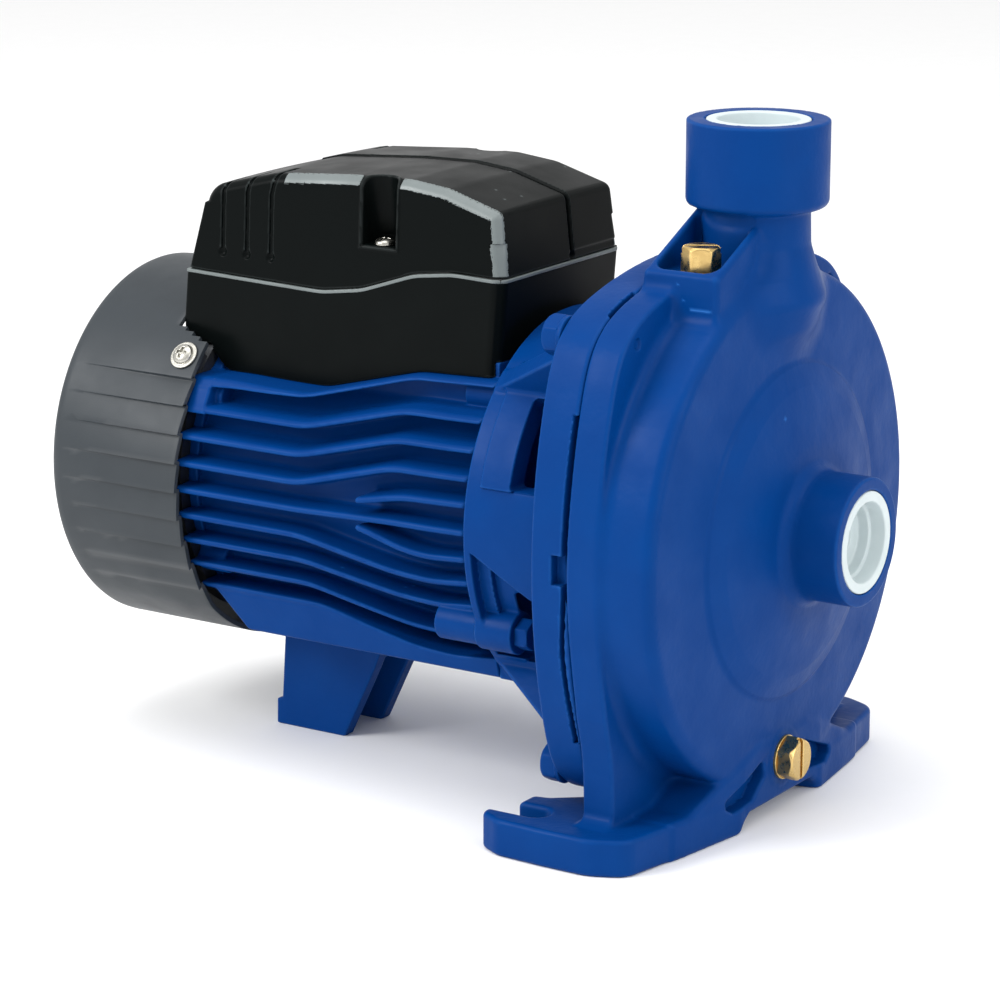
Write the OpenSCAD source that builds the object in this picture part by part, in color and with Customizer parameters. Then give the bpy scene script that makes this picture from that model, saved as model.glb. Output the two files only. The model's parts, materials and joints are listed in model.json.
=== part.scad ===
// Close-coupled centrifugal water pump with a finned single-phase motor.
// +X runs along the shaft towards the suction port, +Z is up, and the origin is on the ground
// under the middle of the pump. Heights inside the modules are measured from the shaft axis.

/* [Overall] */
// Height of the shaft axis above the ground
axis_h = 101; // [99:0.5:103]
// Distance from the middle of the pump to the suction face, and to the back of the fan cover
half_length = 149; // [148:0.5:151]
// Height of the discharge face above the shaft axis
discharge_rise = 140; // [138:0.5:143]
// Position of the discharge axis along the shaft
discharge_x = 104.8; // [104:0.2:105.6]

/* [Casing] */
// Radius of the casing drum
drum_r = 89.5; // [88.5:0.5:90]
// Half width of the casing and bracket flanges
flange_half_w = 90; // [89:0.5:92]
// Half height of the casing and bracket flanges
flange_half_h = 92.5; // [91:0.5:94]
// Radius of the bowed flange edges
bow_r = 200; // [180:5:230]
// Radius that rounds the flange corners
flange_corner_r = 105.5; // [104:0.5:107]
// Plane where the casing meets the bracket
joint_x = 86; // [85.5:0.5:86.5]
// Thickness of the casing flange
casing_flange_t = 12; // [10:0.5:13]
// Radius of the pumping chamber
chamber_r = 82; // [80:0.5:83]
// Radius of the suction boss
suction_boss_r = 22.2; // [21.5:0.1:23]
// Radius of the discharge boss
discharge_boss_r = 24.15; // [23:0.05:25]
// Height of the discharge boss
discharge_boss_h = 34; // [32:0.5:35]
// Wall radius of the G1 port threads, at their minor diameter
port_thread_r = 15.145; // [15.145:0.005:15.2]
// Radius of the plain lead-in in front of each port thread
port_lead_r = 15.4; // [15.35:0.05:15.6]
// Radius of the shallow recess around each port
port_recess_r = 17.8; // [17.5:0.1:18]
// Depth of the lead-in behind each port face
port_lead_depth = 11; // [10:0.5:12]
// Length of each port thread
port_thread_length = 10; // [9:0.5:11]
// Offset of the casing bolts from the shaft, sideways
casing_bolt_y = 65.5; // [65:0.5:66]
// Offset of the casing bolts from the shaft, in height
casing_bolt_z = 73.5; // [73:0.5:74]

/* [Feet] */
// Half width over the front feet
foot_half_w = 93.5; // [92:0.5:95]
// Thickness of the foot plates
foot_t = 13; // [11:0.5:14]
// Distance of the foot slots from the middle
foot_slot_y = 78; // [77:0.5:79]
// Width of the foot slots
foot_slot_w = 10; // [9:0.5:11]
// Height of the arch between the front feet
arch_h = 5.5; // [4:0.5:6.5]

/* [Plugs and caps] */
// Position of the priming plug along the shaft
priming_x = 102; // [101:0.5:102.5]
// Offset of the priming plug towards the front of the pump
priming_y = -32.5; // [-33:0.1:-32]
// Width across the flats of the priming plug
priming_af = 12; // [11:0.5:12.5]
// Depth of the drain plug below the shaft axis
drain_z = -81; // [-82:0.5:-80]
// Width across the flats of the drain plug
drain_af = 14; // [13:0.5:14.5]
// Depth of each transit cap
cap_depth = 11; // [10:0.5:11]

/* [Motor] */
// Radius over the fin tips
fin_tip_r = 64; // [63:0.5:65]
// Radius of the motor frame's tube
frame_tube_r = 53; // [52:0.5:54]
// Front end of the motor frame
frame_front_x = 31; // [30.5:0.5:31.5]
// Rear end of the motor frame
frame_rear_x = -95; // [-96:0.5:-94.5]
// Thickness of a fin
fin_t = 2.8; // [2:0.1:3.2]
// Outer radius of the stator core
stator_r = 48; // [47.5:0.5:48]
// Radius of the rotor core
rotor_r = 27.2; // [26.5:0.1:27.3]
// Gap between the rotor and the stator
air_gap = 0.3; // [0.25:0.05:0.5]
// Outer radius of the bracket's bell
bell_r = 68; // [67:0.5:69]
// Radius of the fan cover
fan_cover_r = 68; // [67.5:0.5:68.5]
// Wall thickness of the fan cover
fan_cover_t = 1.8; // [1.5:0.1:2.2]
// Front edge of the fan cover
fan_cover_front_x = -92; // [-93:0.5:-91.5]
// Number of fan blades
fan_blades = 8; // [6:1:10]

/* [Terminal box] */
// Half width of the terminal box
box_half_w = 39.5; // [38.5:0.5:40]
// Front end of the terminal box
box_front_x = 28.5; // [28:0.5:29]
// Rear end of the terminal box
box_rear_x = -106; // [-107:0.5:-105]
// Wall thickness of the terminal box
box_wall = 2.6; // [2.2:0.1:3]

/* [Impeller] */
// Outer radius of the impeller
impeller_r = 72; // [68:0.5:74]
// Number of impeller vanes
impeller_vanes = 6; // [5:1:7]

/* [Hidden] */
$fn = 72;
fine = 32;
eps = 0.05;
run_gap = 0.06;
flange_front_x = joint_x + casing_flange_t;
drum_front_x = 117.4;
bracket_flange_t = 14;
bracket_rear_x = joint_x - bracket_flange_t;
spigot_r = chamber_r + 2;
spigot_front_x = joint_x + 4;
foot_top = foot_t - axis_h;
box_floor_z = 54;
drain_face_x = 118.6;
pocket_floor_z = 92;
priming_hole_r = 4.3;
drain_hole_r = 6.5;
front_bearing_x = 34;
front_bearing_w = 12;
rear_bearing_x = -95;
rear_bearing_w = 11;
end_ring_r = 56;
seal_face_x = 82.5;
shaft_seal_r = 7;
shaft_nose_r = 6.5;
lid_screw_x = -23.3;
lid_screw_y = 33.8;
gland_x = 6;
gland_z = 68;
gland_bore_r = 4.5;
cover_screw_x = -98.5;
cover_screw_angle = 40.7;
COVER_SCREW_ANGLES = [cover_screw_angle, 180 - cover_screw_angle, -90];
BOX_SCREW_X = [-78, 21.5];
end_screw_y = 46;
end_screw_z = 30;

// Sideways offset and height of the bolts that tie the bracket to the motor frame
MOTOR_BOLTS = [[54, -35], [34, 42]];
steel = [0.62, 0.63, 0.65];
brass = [0.78, 0.62, 0.30];
blue = [0.02, 0.24, 0.54];
black = [0.07, 0.07, 0.07];
rubber = [0.10, 0.10, 0.10];
cap_white = [0.90, 0.93, 0.93];

// Height of the seam between the motor frame's shelf and the terminal box, by position along X
seam = [
    [-106, 46.5], [-95.2, 46.5], [-90.4, 37.8], [-77, 38], [-60, 37.5], [-45, 37.4], [-5, 47.5], [33, 49]
];
// Height of the line where the lid meets the base, by position along X
parting = [[-107, 73.5], [-75, 72.5], [-47, 72], [-30, 74.5], [-12, 81], [4, 83.5], [34, 83]];
// Crest of the lid's roof, by position along X
roof = [[-98, 105.2], [-70, 111.6], [-33, 114], [-13, 114.4], [4, 112.8], [25, 106.5]];

// Shape helpers ---------------------------------------------------------------------------------

// Solid of revolution about the shaft axis from a list of [radius, x]
module turned(profile) {
    translate([0, 0, axis_h]) rotate([0, 90, 0]) rotate_extrude() polygon(profile);
}

// Ring about the shaft axis
module ring(x0, x1, r_in, r_out) {
    turned([[r_in, x0], [r_out, x0], [r_out, x1], [r_in, x1]]);
}

// Round bar parallel to the shaft
module bar(x0, x1, r, y = 0, z = 0) {
    translate([x0, y, axis_h + z]) rotate([0, 90, 0]) cylinder(h = x1 - x0, r = r);
}

// Six-sided bar parallel to the shaft
module hex_bar(x0, x1, across_flats, y = 0, z = 0, turn = 30) {
    translate([x0, y, axis_h + z]) rotate([0, 90, 0]) rotate([0, 0, turn])
        cylinder(h = x1 - x0, r = across_flats / sqrt(3), $fn = 6);
}

// Round bar standing upright
module post(z0, z1, r, x, y) {
    translate([x, y, axis_h + z0]) cylinder(h = z1 - z0, r = r);
}

// Slab across the shaft: the children are drawn in Y and height
module across(x0, x1) {
    translate([x0, 0, axis_h]) rotate([90, 0, 90]) linear_extrude(x1 - x0) children();
}

// Slab along the shaft: the children are drawn in X and height
module along(y0, y1) {
    translate([0, y1, axis_h]) rotate([90, 0, 0]) linear_extrude(y1 - y0) children();
}

// Block given by its low and high corners, heights from the shaft axis
module block(low, high) {
    translate([low[0], low[1], axis_h + low[2]]) cube(high - low);
}

// The children and their mirror image on the other side of the shaft plane
module both_sides() {
    children();
    mirror([0, 1, 0]) children();
}

// The children at the four corners of a rectangle around the shaft
module four_corners(y, z) {
    for (sy = [-1, 1], sz = [-1, 1]) translate([0, sy * y, sz * z]) children();
}

// The children at each bolt between the bracket and the motor frame
module at_motor_bolts() {
    for (p = MOTOR_BOLTS, sy = [-1, 1]) translate([0, sy * p[0], p[1]]) children();
}

// The children turned about the shaft axis
module turned_about_shaft(angle) {
    translate([0, 0, axis_h]) rotate([angle, 0, 0]) translate([0, 0, -axis_h]) children();
}

// A line's points moved up by a distance
function raised(line, rise) = [for (p = line) [p[0], p[1] + rise]];

// A line's points in reverse order
function reversed(line) = [for (i = [len(line) - 1 : -1 : 0]) line[i]];

// Band between a line and the same line moved up by a thickness
module band(line, thickness) {
    polygon(concat(line, reversed(raised(line, thickness))));
}

// Pump end -------------------------------------------------------------------------------------

module flange_outline() {
    intersection() {
        translate([bow_r - flange_half_w, 0]) circle(bow_r);
        translate([flange_half_w - bow_r, 0]) circle(bow_r);
        translate([0, bow_r - flange_half_h]) circle(bow_r);
        translate([0, flange_half_h - bow_r]) circle(bow_r);
        circle(flange_corner_r);
    }
}

// One front foot seen from above, on the near side
module foot_outline() {
    tip_r = 10;
    heel_r = 14.5;
    toe_r = 8;
    difference() {
        hull() {
            translate([51.3 + tip_r, tip_r - foot_half_w]) circle(tip_r, $fn = fine);
            translate([57, -62]) circle(3, $fn = fine);
            translate([112.5 - heel_r, heel_r - foot_half_w]) circle(heel_r, $fn = fine);
            translate([drain_face_x - toe_r, -30]) circle(toe_r, $fn = fine);
            translate([88, -30]) circle(toe_r, $fn = fine);
        }
        translate([40, -foot_slot_y - foot_slot_w / 2]) square([27, foot_slot_w]);
        translate([67, -foot_slot_y]) circle(foot_slot_w / 2);
    }
}

// Front beam between the feet, with the arch below and the drain boss above
module front_beam() {
    arch_top = arch_h - axis_h;
    across(98, drain_face_x) polygon([
        [-62, -axis_h], [-30, -axis_h], [-22, arch_top], [22, arch_top], [30, -axis_h], [62, -axis_h],
        [62, foot_top], [54, -86], [40, -80], [16, -72.5],
        [-16, -72.5], [-40, -80], [-54, -86], [-62, foot_top]
    ]);
}

// Recesses on either side of the drain plug
module beam_recess() {
    across(drain_face_x - 5, drain_face_x + 1) polygon([
        [-39, -90], [-12.5, -78.5], [-12, -84], [-20, -92], [-35, -93.5]
    ]);
}

module casing_legs() {
    both_sides() block([joint_x, -79, foot_top - 1], [flange_front_x, -46, -52]);
}

module suction_end() {
    turned([
        [0, joint_x + 2], [drum_r - 1, joint_x + 2], [drum_r, flange_front_x + 3], [drum_r, 114],
        [drum_r - 0.9, 116.3], [drum_r - 3, drum_front_x], [72, 118.4], [57, 120.3], [53.5, 121.6],
        [50.5, 124], [48, 124.8], [31, 127.2], [27, 128.6], [24, 131.5], [suction_boss_r, 136],
        [suction_boss_r, half_length], [0, half_length]
    ]);
}

module discharge_neck() {
    boss_z = discharge_rise - discharge_boss_h;
    translate([discharge_x, 0, axis_h]) rotate_extrude() polygon([
        [0, 70], [25, 70], [25, 82], [21.5, 88], [19, 94], [18, 100], [18, boss_z - 1],
        [discharge_boss_r - 5, boss_z], [discharge_boss_r - 2, boss_z + 1.2],
        [discharge_boss_r - 0.6, boss_z + 3], [discharge_boss_r, boss_z + 5],
        [discharge_boss_r, discharge_rise], [0, discharge_rise]
    ]);
}

// Shoulder beside the neck that holds the priming plug
module priming_shoulder() {
    difference() {
        across(joint_x, 114.5) polygon([[-43.5, 70], [-43.5, 94], [-8, 110], [0, 110], [0, 70]]);
        across(joint_x + 2.6, 112) polygon([
            [-41.2, pocket_floor_z], [-41.2, 120], [-8, 120], [-8, pocket_floor_z]
        ]);
    }
}

// Port bore along +Z from z = 0 down, with its thread, lead-in and recess
module port_bore(reach, bore_r) {
    lead_end = -port_lead_depth;
    thread_end = lead_end - port_thread_length;
    rotate_extrude() polygon([
        [0, 1], [port_recess_r, 1], [port_recess_r, -1.2], [port_lead_r, -1.2],
        [port_lead_r, lead_end], [port_thread_r, lead_end], [port_thread_r, thread_end],
        [bore_r, thread_end - 2], [bore_r, -reach], [0, -reach]
    ]);
}

module casing_hollows() {
    turned([
        [0, joint_x - 1], [spigot_r + eps, joint_x - 1], [spigot_r + eps, spigot_front_x],
        [chamber_r, spigot_front_x], [chamber_r, 108], [chamber_r - 4, 111], [56, 113.5],
        [48, 117.5], [24, 119], [20.5, 119], [20.5, 125], [13.5, 126.5], [0, 126.5]
    ]);
    translate([half_length, 0, axis_h]) rotate([0, 90, 0]) port_bore(30, 13.5);
    translate([discharge_x, 0, axis_h + discharge_rise]) port_bore(46, 12.5);
    post(77, 96, 9.5, discharge_x, 0);
    post(70, pocket_floor_z + 1, priming_hole_r, priming_x, priming_y);
    bar(100, drain_face_x + 1, drain_hole_r, 0, drain_z);
    four_corners(casing_bolt_y, casing_bolt_z) bar(joint_x - 1, flange_front_x - 1.5, 3.4);
    both_sides() beam_recess();
}

module pump_casing() {
    color(blue) difference() {
        union() {
            across(joint_x, flange_front_x) flange_outline();
            suction_end();
            discharge_neck();
            priming_shoulder();
            casing_legs();
            front_beam();
            both_sides() linear_extrude(foot_t) foot_outline();
        }
        block([40, -46, -axis_h - 1], [joint_x + eps, 46, foot_top + 1]);
        block([joint_x - 10, -30, spigot_r - 10], [joint_x, 30, 104]);
        casing_hollows();
    }
}

module casing_oring() {
    color(rubber) translate([joint_x + 1.9, 0, axis_h]) rotate([0, 90, 0]) rotate_extrude()
        translate([spigot_r - 1.5, 0]) circle(1.5, $fn = fine);
}

module casing_bolts() {
    color(steel) four_corners(casing_bolt_y, casing_bolt_z) {
        bar(bracket_rear_x - 1.6, bracket_rear_x, 7);
        hex_bar(bracket_rear_x - 7.4, bracket_rear_x - 1.5, 13);
        bar(bracket_rear_x - 1.6, flange_front_x - 2.5, 3.35);
    }
}

module priming_plug() {
    seat = pocket_floor_z + 1.2;
    color(brass) difference() {
        union() {
            translate([priming_x, priming_y, axis_h + seat])
                cylinder(h = 8.4, r = priming_af / sqrt(3), $fn = 6);
            post(pocket_floor_z - 11, seat, priming_hole_r - run_gap, priming_x, priming_y);
        }
        block([priming_x - 10, priming_y - 0.8, seat + 6], [priming_x + 10, priming_y + 0.8, seat + 9]);
    }
}

module priming_washer() {
    color(brass) difference() {
        post(pocket_floor_z + eps, pocket_floor_z + 1.2, 7, priming_x, priming_y);
        post(pocket_floor_z - 1, pocket_floor_z + 2, priming_hole_r, priming_x, priming_y);
    }
}

module drain_plug() {
    seat = drain_face_x + 1.6;
    head_end = seat + 6;
    color(brass) difference() {
        union() {
            hex_bar(seat, head_end, drain_af, 0, drain_z, 0);
            bar(drain_face_x - 12, seat + 1, drain_hole_r - run_gap, 0, drain_z);
        }
        block([head_end - 1.6, -0.8, drain_z - drain_af], [head_end + 1, 0.8, drain_z + drain_af]);
    }
}

module drain_washer() {
    color(brass) difference() {
        bar(drain_face_x + eps, drain_face_x + 1.6, 7.8, 0, drain_z);
        bar(drain_face_x - 1, drain_face_x + 3, drain_hole_r, 0, drain_z);
    }
}

// Transit cap with its rim at z = 0 and its cup reaching down
module port_cap() {
    cup_r = port_lead_r - run_gap;
    color(cap_white) rotate_extrude() polygon([
        [0, -cap_depth + 1.5], [0, -cap_depth + 0.1], [cup_r, -cap_depth + 0.1], [cup_r, -1.1],
        [port_recess_r - 0.2, -1.1], [port_recess_r - 0.2, 0], [cup_r - 1.4, 0],
        [cup_r - 1.9, -cap_depth / 2], [cup_r - 3.2, -cap_depth / 2], [cup_r - 3.4, -cap_depth + 1.5]
    ]);
}

module suction_cap() {
    translate([half_length, 0, axis_h]) rotate([0, 90, 0]) port_cap();
}

module discharge_cap() {
    translate([discharge_x, 0, axis_h + discharge_rise]) port_cap();
}

// Bracket --------------------------------------------------------------------------------------

module bracket_body() {
    across(bracket_rear_x, joint_x) flange_outline();
    ring(joint_x - 1, spigot_front_x, 30, spigot_r);
    ring(frame_front_x, bracket_rear_x + 1, bell_r - 8, bell_r);
    ring(frame_front_x + 2, frame_front_x + 8, 20, bell_r - 4);
    ring(frame_front_x + 2, frame_front_x + 19, 15, 27);
    ring(bracket_rear_x - 4, spigot_front_x, 9, 24);
    both_sides() block([frame_front_x, -45, -56], [bracket_rear_x + 1, -16, -44]);
    at_motor_bolts() bar(frame_front_x, frame_front_x + 15, 7);
    for (a = [45 : 90 : 315]) turned_about_shaft(a) along(-3, 3) polygon([
        [frame_front_x + 2, bell_r - 3], [bracket_rear_x + 1, bell_r - 3], [bracket_rear_x + 1, 88]
    ]);
}

// Narrow relief between the two flanges, open at their edges
module flange_relief() {
    depth = 5;
    both_sides() {
        block([joint_x - 1.5, -flange_half_w - 2, -8], [joint_x, depth - flange_half_w, 52]);
        block([joint_x - 1.5, -flange_half_w - 2, -56], [joint_x, depth - flange_half_w, -32]);
        block([joint_x - 1.5, -62, 84], [joint_x, -46, flange_half_h + 2]);
        block([joint_x - 6, -flange_half_w - 2, -4], [joint_x - 3, depth - flange_half_w, 6]);
    }
}

module bracket_windows() {
    both_sides() {
        block([frame_front_x + 18, -bell_r - 4, 18], [bracket_rear_x, 0, 47]);
        block([frame_front_x + 15, -bell_r - 4, -44], [bracket_rear_x, 0, -19.5]);
    }
}

module bracket_bores() {
    ring(spigot_front_x - 14, spigot_front_x + 1, 24, spigot_r - 5);
    bar(seal_face_x, spigot_front_x + 1, 17);
    bar(seal_face_x - 6.5, seal_face_x + 1, 13);
    bar(frame_front_x, seal_face_x, 9);
    bar(front_bearing_x - 1.5, front_bearing_x + front_bearing_w + eps, 20);
    four_corners(casing_bolt_y, casing_bolt_z) bar(bracket_rear_x - 1, joint_x + 1, 4.5);
    at_motor_bolts() {
        bar(frame_front_x - 1, frame_front_x + 16, 3.3);
        bar(frame_front_x + 15, bracket_rear_x, 7.5);
    }
    translate([joint_x + 1.9, 0, axis_h]) rotate([0, 90, 0]) rotate_extrude()
        translate([spigot_r - 3.1, -1.7]) square([4, 3.4]);
}

module motor_bracket() {
    color(blue) difference() {
        bracket_body();
        bracket_windows();
        bracket_bores();
        flange_relief();
    }
}

module motor_bolts() {
    head_x = frame_front_x + 15;
    color(steel) at_motor_bolts() {
        hex_bar(head_x, head_x + 5, 10);
        bar(frame_front_x - 14, head_x + 1, 2.95);
    }
}

// Rotating parts -------------------------------------------------------------------------------

module shaft() {
    key_top = shaft_nose_r + 2;
    color(steel) difference() {
        turned([
            [0, -137], [5.2, -137], [6, -136], [6, rear_bearing_x - 2], [7.5, rear_bearing_x - 2],
            [7.5, rear_bearing_x + rear_bearing_w], [9.5, rear_bearing_x + rear_bearing_w],
            [9.5, front_bearing_x], [8.5, front_bearing_x], [8.5, 49], [shaft_seal_r + 0.5, 49],
            [shaft_seal_r + 0.5, 72], [shaft_seal_r, 72], [shaft_seal_r, 92],
            [shaft_nose_r, 92], [shaft_nose_r, 110], [5, 110], [5, 119], [0, 119]
        ]);
        block([95, -2.5, shaft_nose_r - 3], [109, 2.5, key_top]);
        block([-128, -7, 4.8], [-112, 7, 7]);
        ring(-134, -132.8, 5.3, 7);
        ring(front_bearing_x + front_bearing_w, front_bearing_x + front_bearing_w + 1.2, 7.9, 9);
    }
}

module rotor_core() {
    color(steel) ring(-68, 0, 9.5, rotor_r);
}

module rotor_cage() {
    color([0.75, 0.76, 0.78]) {
        ring(-75, -68, 15, rotor_r - 0.7);
        ring(0, 7, 15, rotor_r - 0.7);
        for (a = [0 : 45 : 315]) turned_about_shaft(a) {
            block([-80, -1.2, 18], [-74, 1.2, 25]);
            block([6, -1.2, 18], [11, 1.2, 25]);
        }
    }
}

module impeller_vane() {
    outer_r = 46;
    vane_t = 2.6;
    intersection() {
        difference() {
            translate([20, 34]) circle(outer_r);
            translate([20, 34]) circle(outer_r - vane_t);
        }
        difference() {
            circle(impeller_r - 0.5);
            circle(19);
        }
        translate([0, -2 * impeller_r]) square([2 * impeller_r, 2 * impeller_r + 8]);
    }
}

module impeller() {
    color(brass) difference() {
        union() {
            turned([
                [shaft_nose_r, 92 + eps], [12.5, 92 + eps], [12.5, 94.5], [impeller_r, 94.5],
                [impeller_r, 97], [20, 97.5], [13, 101], [11.5, 110], [shaft_nose_r, 110]
            ]);
            turned([
                [17, 124], [20.25, 124], [20.25, 112], [25, 108.5], [impeller_r, 106.6],
                [impeller_r, 104.4], [24, 104.6], [18.5, 108], [17, 112]
            ]);
            for (a = [0 : 360 / impeller_vanes : 359]) across(96.5, 105) rotate(a) impeller_vane();
        }
        block([94.9, -2.52, 0], [111, 2.52, shaft_nose_r + 2.3]);
    }
}

module impeller_key() {
    color(steel) block([95, -2.5, shaft_nose_r - 3], [109, 2.5, shaft_nose_r + 2]);
}

module impeller_nut() {
    color(steel) difference() {
        union() {
            bar(110, 111.6, 9.5);
            hex_bar(111.5, 117.5, 16);
        }
        bar(109, 119, 5);
    }
}

module seal_seat() {
    color([0.88, 0.86, 0.80]) ring(seal_face_x - 5.5, seal_face_x - eps, 7.7, 11.4);
}

module seal_cup() {
    color(rubber) turned([
        [7.9, seal_face_x - 6.5], [13, seal_face_x - 6.5], [13, seal_face_x - 0.6],
        [11.4, seal_face_x - 0.6], [11.4, seal_face_x - 5.5], [7.9, seal_face_x - 5.5]
    ]);
}

module seal_rotor() {
    color([0.22, 0.22, 0.24]) turned([
        [shaft_seal_r, seal_face_x + eps], [10.5, seal_face_x + eps], [10.5, seal_face_x + 2],
        [12.5, seal_face_x + 2], [12.5, seal_face_x + 3.6], [9, seal_face_x + 3.6],
        [9, 91.9], [shaft_seal_r, 91.9]
    ]);
}

// Points of a ring of the spring, one ring for each step along the helix
function spring_point(step, side, x0, x1, turns, r, wire_r, steps) =
    let (t = step / steps, a = 360 * turns * t, b = 60 * side, rr = r + wire_r * cos(b))
    [x0 + (x1 - x0) * t + wire_r * sin(b), rr * sin(a), rr * cos(a)];

module seal_spring() {
    steps = 72;
    sides = 6;
    x0 = seal_face_x + 4.3;
    x1 = 91.2;
    points = [for (i = [0 : steps], k = [0 : sides - 1])
        spring_point(i, k, x0, x1, 3, 10.6, 0.6, steps)];
    skin = [for (i = [0 : steps - 1], k = [0 : sides - 1]) let (n = (k + 1) % sides)
        [i * sides + k, i * sides + n, (i + 1) * sides + n, (i + 1) * sides + k]];
    ends = [[for (k = [sides - 1 : -1 : 0]) k], [for (k = [0 : sides - 1]) steps * sides + k]];
    color(steel) translate([0, 0, axis_h]) polyhedron(points, concat(skin, ends), convexity = 6);
}

module water_deflector() {
    color(rubber) turned([
        [shaft_seal_r + 0.5, 60], [12, 60], [12, 62.5], [17, 63.5], [17, 65], [11, 64.5],
        [11, 66], [shaft_seal_r + 0.5, 66]
    ]);
}

module cooling_fan() {
    color(black) difference() {
        union() {
            ring(-132.8, -110, 0, 12);
            ring(-113, -110.5, 10, 54);
            for (i = [0 : fan_blades - 1]) turned_about_shaft(i * 360 / fan_blades)
                block([-132, -1.1, 11], [-111, 1.1, 57]);
        }
        difference() {
            bar(-134, -108, 6);
            block([-128, -7, 4.8], [-112, 7, 7]);
        }
    }
}

module fan_ring() {
    color(steel) ring(-134, -132.85, 5.3, 8.6);
}

// Bearings -------------------------------------------------------------------------------------

module race(x0, width, r_in, r_out, pitch_r, ball_r) {
    color(steel) difference() {
        ring(x0, x0 + width, r_in, r_out);
        translate([x0 + width / 2, 0, axis_h]) rotate([0, 90, 0]) rotate_extrude()
            translate([pitch_r, 0]) circle(ball_r + run_gap);
    }
}

module balls(x0, width, count, pitch_r, ball_r) {
    color(steel) for (i = [0 : count - 1]) translate([x0 + width / 2, 0, axis_h])
        rotate([i * 360 / count, 0, 0]) translate([0, 0, pitch_r]) sphere(ball_r);
}

module front_bearing_outer() { race(front_bearing_x, front_bearing_w, 16.4, 20, 14.25, 3.3); }
module front_bearing_balls() { balls(front_bearing_x, front_bearing_w, 8, 14.25, 3.3); }
module front_bearing_inner() { race(front_bearing_x, front_bearing_w, 8.5, 12.1, 14.25, 3.3); }
module rear_bearing_outer() { race(rear_bearing_x, rear_bearing_w, 14.4, 17.5, 12.5, 2.9); }
module rear_bearing_balls() { balls(rear_bearing_x, rear_bearing_w, 8, 12.5, 2.9); }
module rear_bearing_inner() { race(rear_bearing_x, rear_bearing_w, 7.5, 10.6, 12.5, 2.9); }

module front_bearing_ring() {
    color(steel) ring(front_bearing_x + front_bearing_w, front_bearing_x + front_bearing_w + 1.2, 7.9, 11);
}

module wave_washer() {
    color(steel) ring(rear_bearing_x - 1.2, rear_bearing_x - 0.4, 12, 17.3);
}

// Motor ----------------------------------------------------------------------------------------

// Height of fin number i at the rear and of place j at the front
function rear_fin_z(i) = 27.2 - 9.6 * i;
function front_fin_z(j) = 36.4 - 9.25 * j;

// Course of a fin that bends between its rear and front heights
function fin_course(i, j) = let (a = rear_fin_z(i), b = front_fin_z(j))
    [
        [frame_rear_x, a], [-44, a - 0.2], [-30, a + (b - a) * 0.22], [-14, a + (b - a) * 0.7],
        [0, b], [frame_front_x, b - 0.3]
    ];

// Course of a short fin that starts halfway
function short_course(j, start_z) =
    [[-17, start_z], [2, front_fin_z(j)], [frame_front_x, front_fin_z(j) - 0.2]];

// Fins of one side, as flat bands
module fin_bands() {
    courses = [
        fin_course(0, 0), fin_course(1, 1), fin_course(2, 2), fin_course(3, 4), fin_course(4, 6),
        fin_course(5, 7), fin_course(6, 8.4), fin_course(7, 9.4),
        short_course(3, 5.4), short_course(5, -4.6)
    ];
    for (c = courses) band(raised(c, -fin_t / 2), fin_t);
}

module frame_fins() {
    intersection() {
        along(-fin_tip_r, fin_tip_r) fin_bands();
        difference() {
            bar(frame_rear_x, frame_front_x, fin_tip_r);
            bar(frame_rear_x - 1, frame_front_x + 1, frame_tube_r - 1);
        }
    }
}

// Shelf under the terminal box, following the box's wavy lower edge
module frame_shelf() {
    shelf = [[-90.4, 37.8], [-77, 38], [-60, 37.4], [-45, 37.2], [-5, 47.5], [frame_front_x, 49]];
    intersection() {
        along(-fin_tip_r, fin_tip_r) {
            band(raised(shelf, -3.1), 3);
            polygon([[-94, 26], [-85.5, 26], [-85.5, 37.7], [-94, 37.7]]);
        }
        bar(frame_rear_x, frame_front_x, fin_tip_r);
    }
    block([-90, 2 - box_half_w, 30], [box_front_x - 2.2, box_half_w - 2, box_floor_z]);
}

module frame_rail() {
    along(-45, 45) polygon([
        [frame_rear_x + 3, -41], [-79, -56], [frame_front_x, -56], [frame_front_x, -40]
    ]);
}

module motor_frame() {
    color(blue) difference() {
        union() {
            bar(frame_rear_x, frame_front_x, frame_tube_r);
            frame_fins();
            frame_shelf();
            frame_rail();
            ring(frame_rear_x, frame_rear_x + 4, 50, end_ring_r);
            ring(frame_front_x - 4, frame_front_x, 50, end_ring_r);
            at_motor_bolts() bar(frame_front_x - 17, frame_front_x, 6.5);
            four_corners(end_screw_y, end_screw_z) bar(frame_rear_x, frame_rear_x + 12, 5);
        }
        bar(frame_rear_x - 1, frame_front_x + 1, stator_r);
        at_motor_bolts() bar(frame_front_x - 15, frame_front_x + 1, 3);
        four_corners(end_screw_y, end_screw_z) bar(frame_rear_x - 1, frame_rear_x + 11, 2.1);
        block(
            [-90.4, 1.8 - box_half_w, box_floor_z],
            [frame_front_x + 1, box_half_w - 1.8, fin_tip_r + 1]
        );
        block([-14, -9, 40], [14, 9, box_floor_z + 1]);
        for (sx = BOX_SCREW_X, sy = [-28, 28]) post(box_floor_z - 9, box_floor_z + 1, 1.7, sx, sy);
        for (sx = [-74, -52]) post(-57, -47, 2.1, sx, 0);
    }
}

module motor_foot() {
    leg_t = 6;
    color(blue) difference() {
        union() {
            both_sides() along(-15, leg_t - 15) polygon([
                [-87, -axis_h], [-87, -91], [-84, -90], [-83, -56], [-36, -56], [-43, -74], [-56, -axis_h]
            ]);
            block([-83, -24, -62], [-36, 24, -56]);
            block([-80, -10, -71], [-44, 10, -60]);
        }
        for (sx = [-74, -52]) {
            post(-63, -55, 2.8, sx, 0);
            post(-72, -62, 5, sx, 0);
        }
    }
}

module motor_foot_screws() {
    color(steel) for (sx = [-74, -52]) {
        post(-64, -62, 4.5, sx, 0);
        post(-63, -48, 2.05, sx, 0);
    }
}

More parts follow.
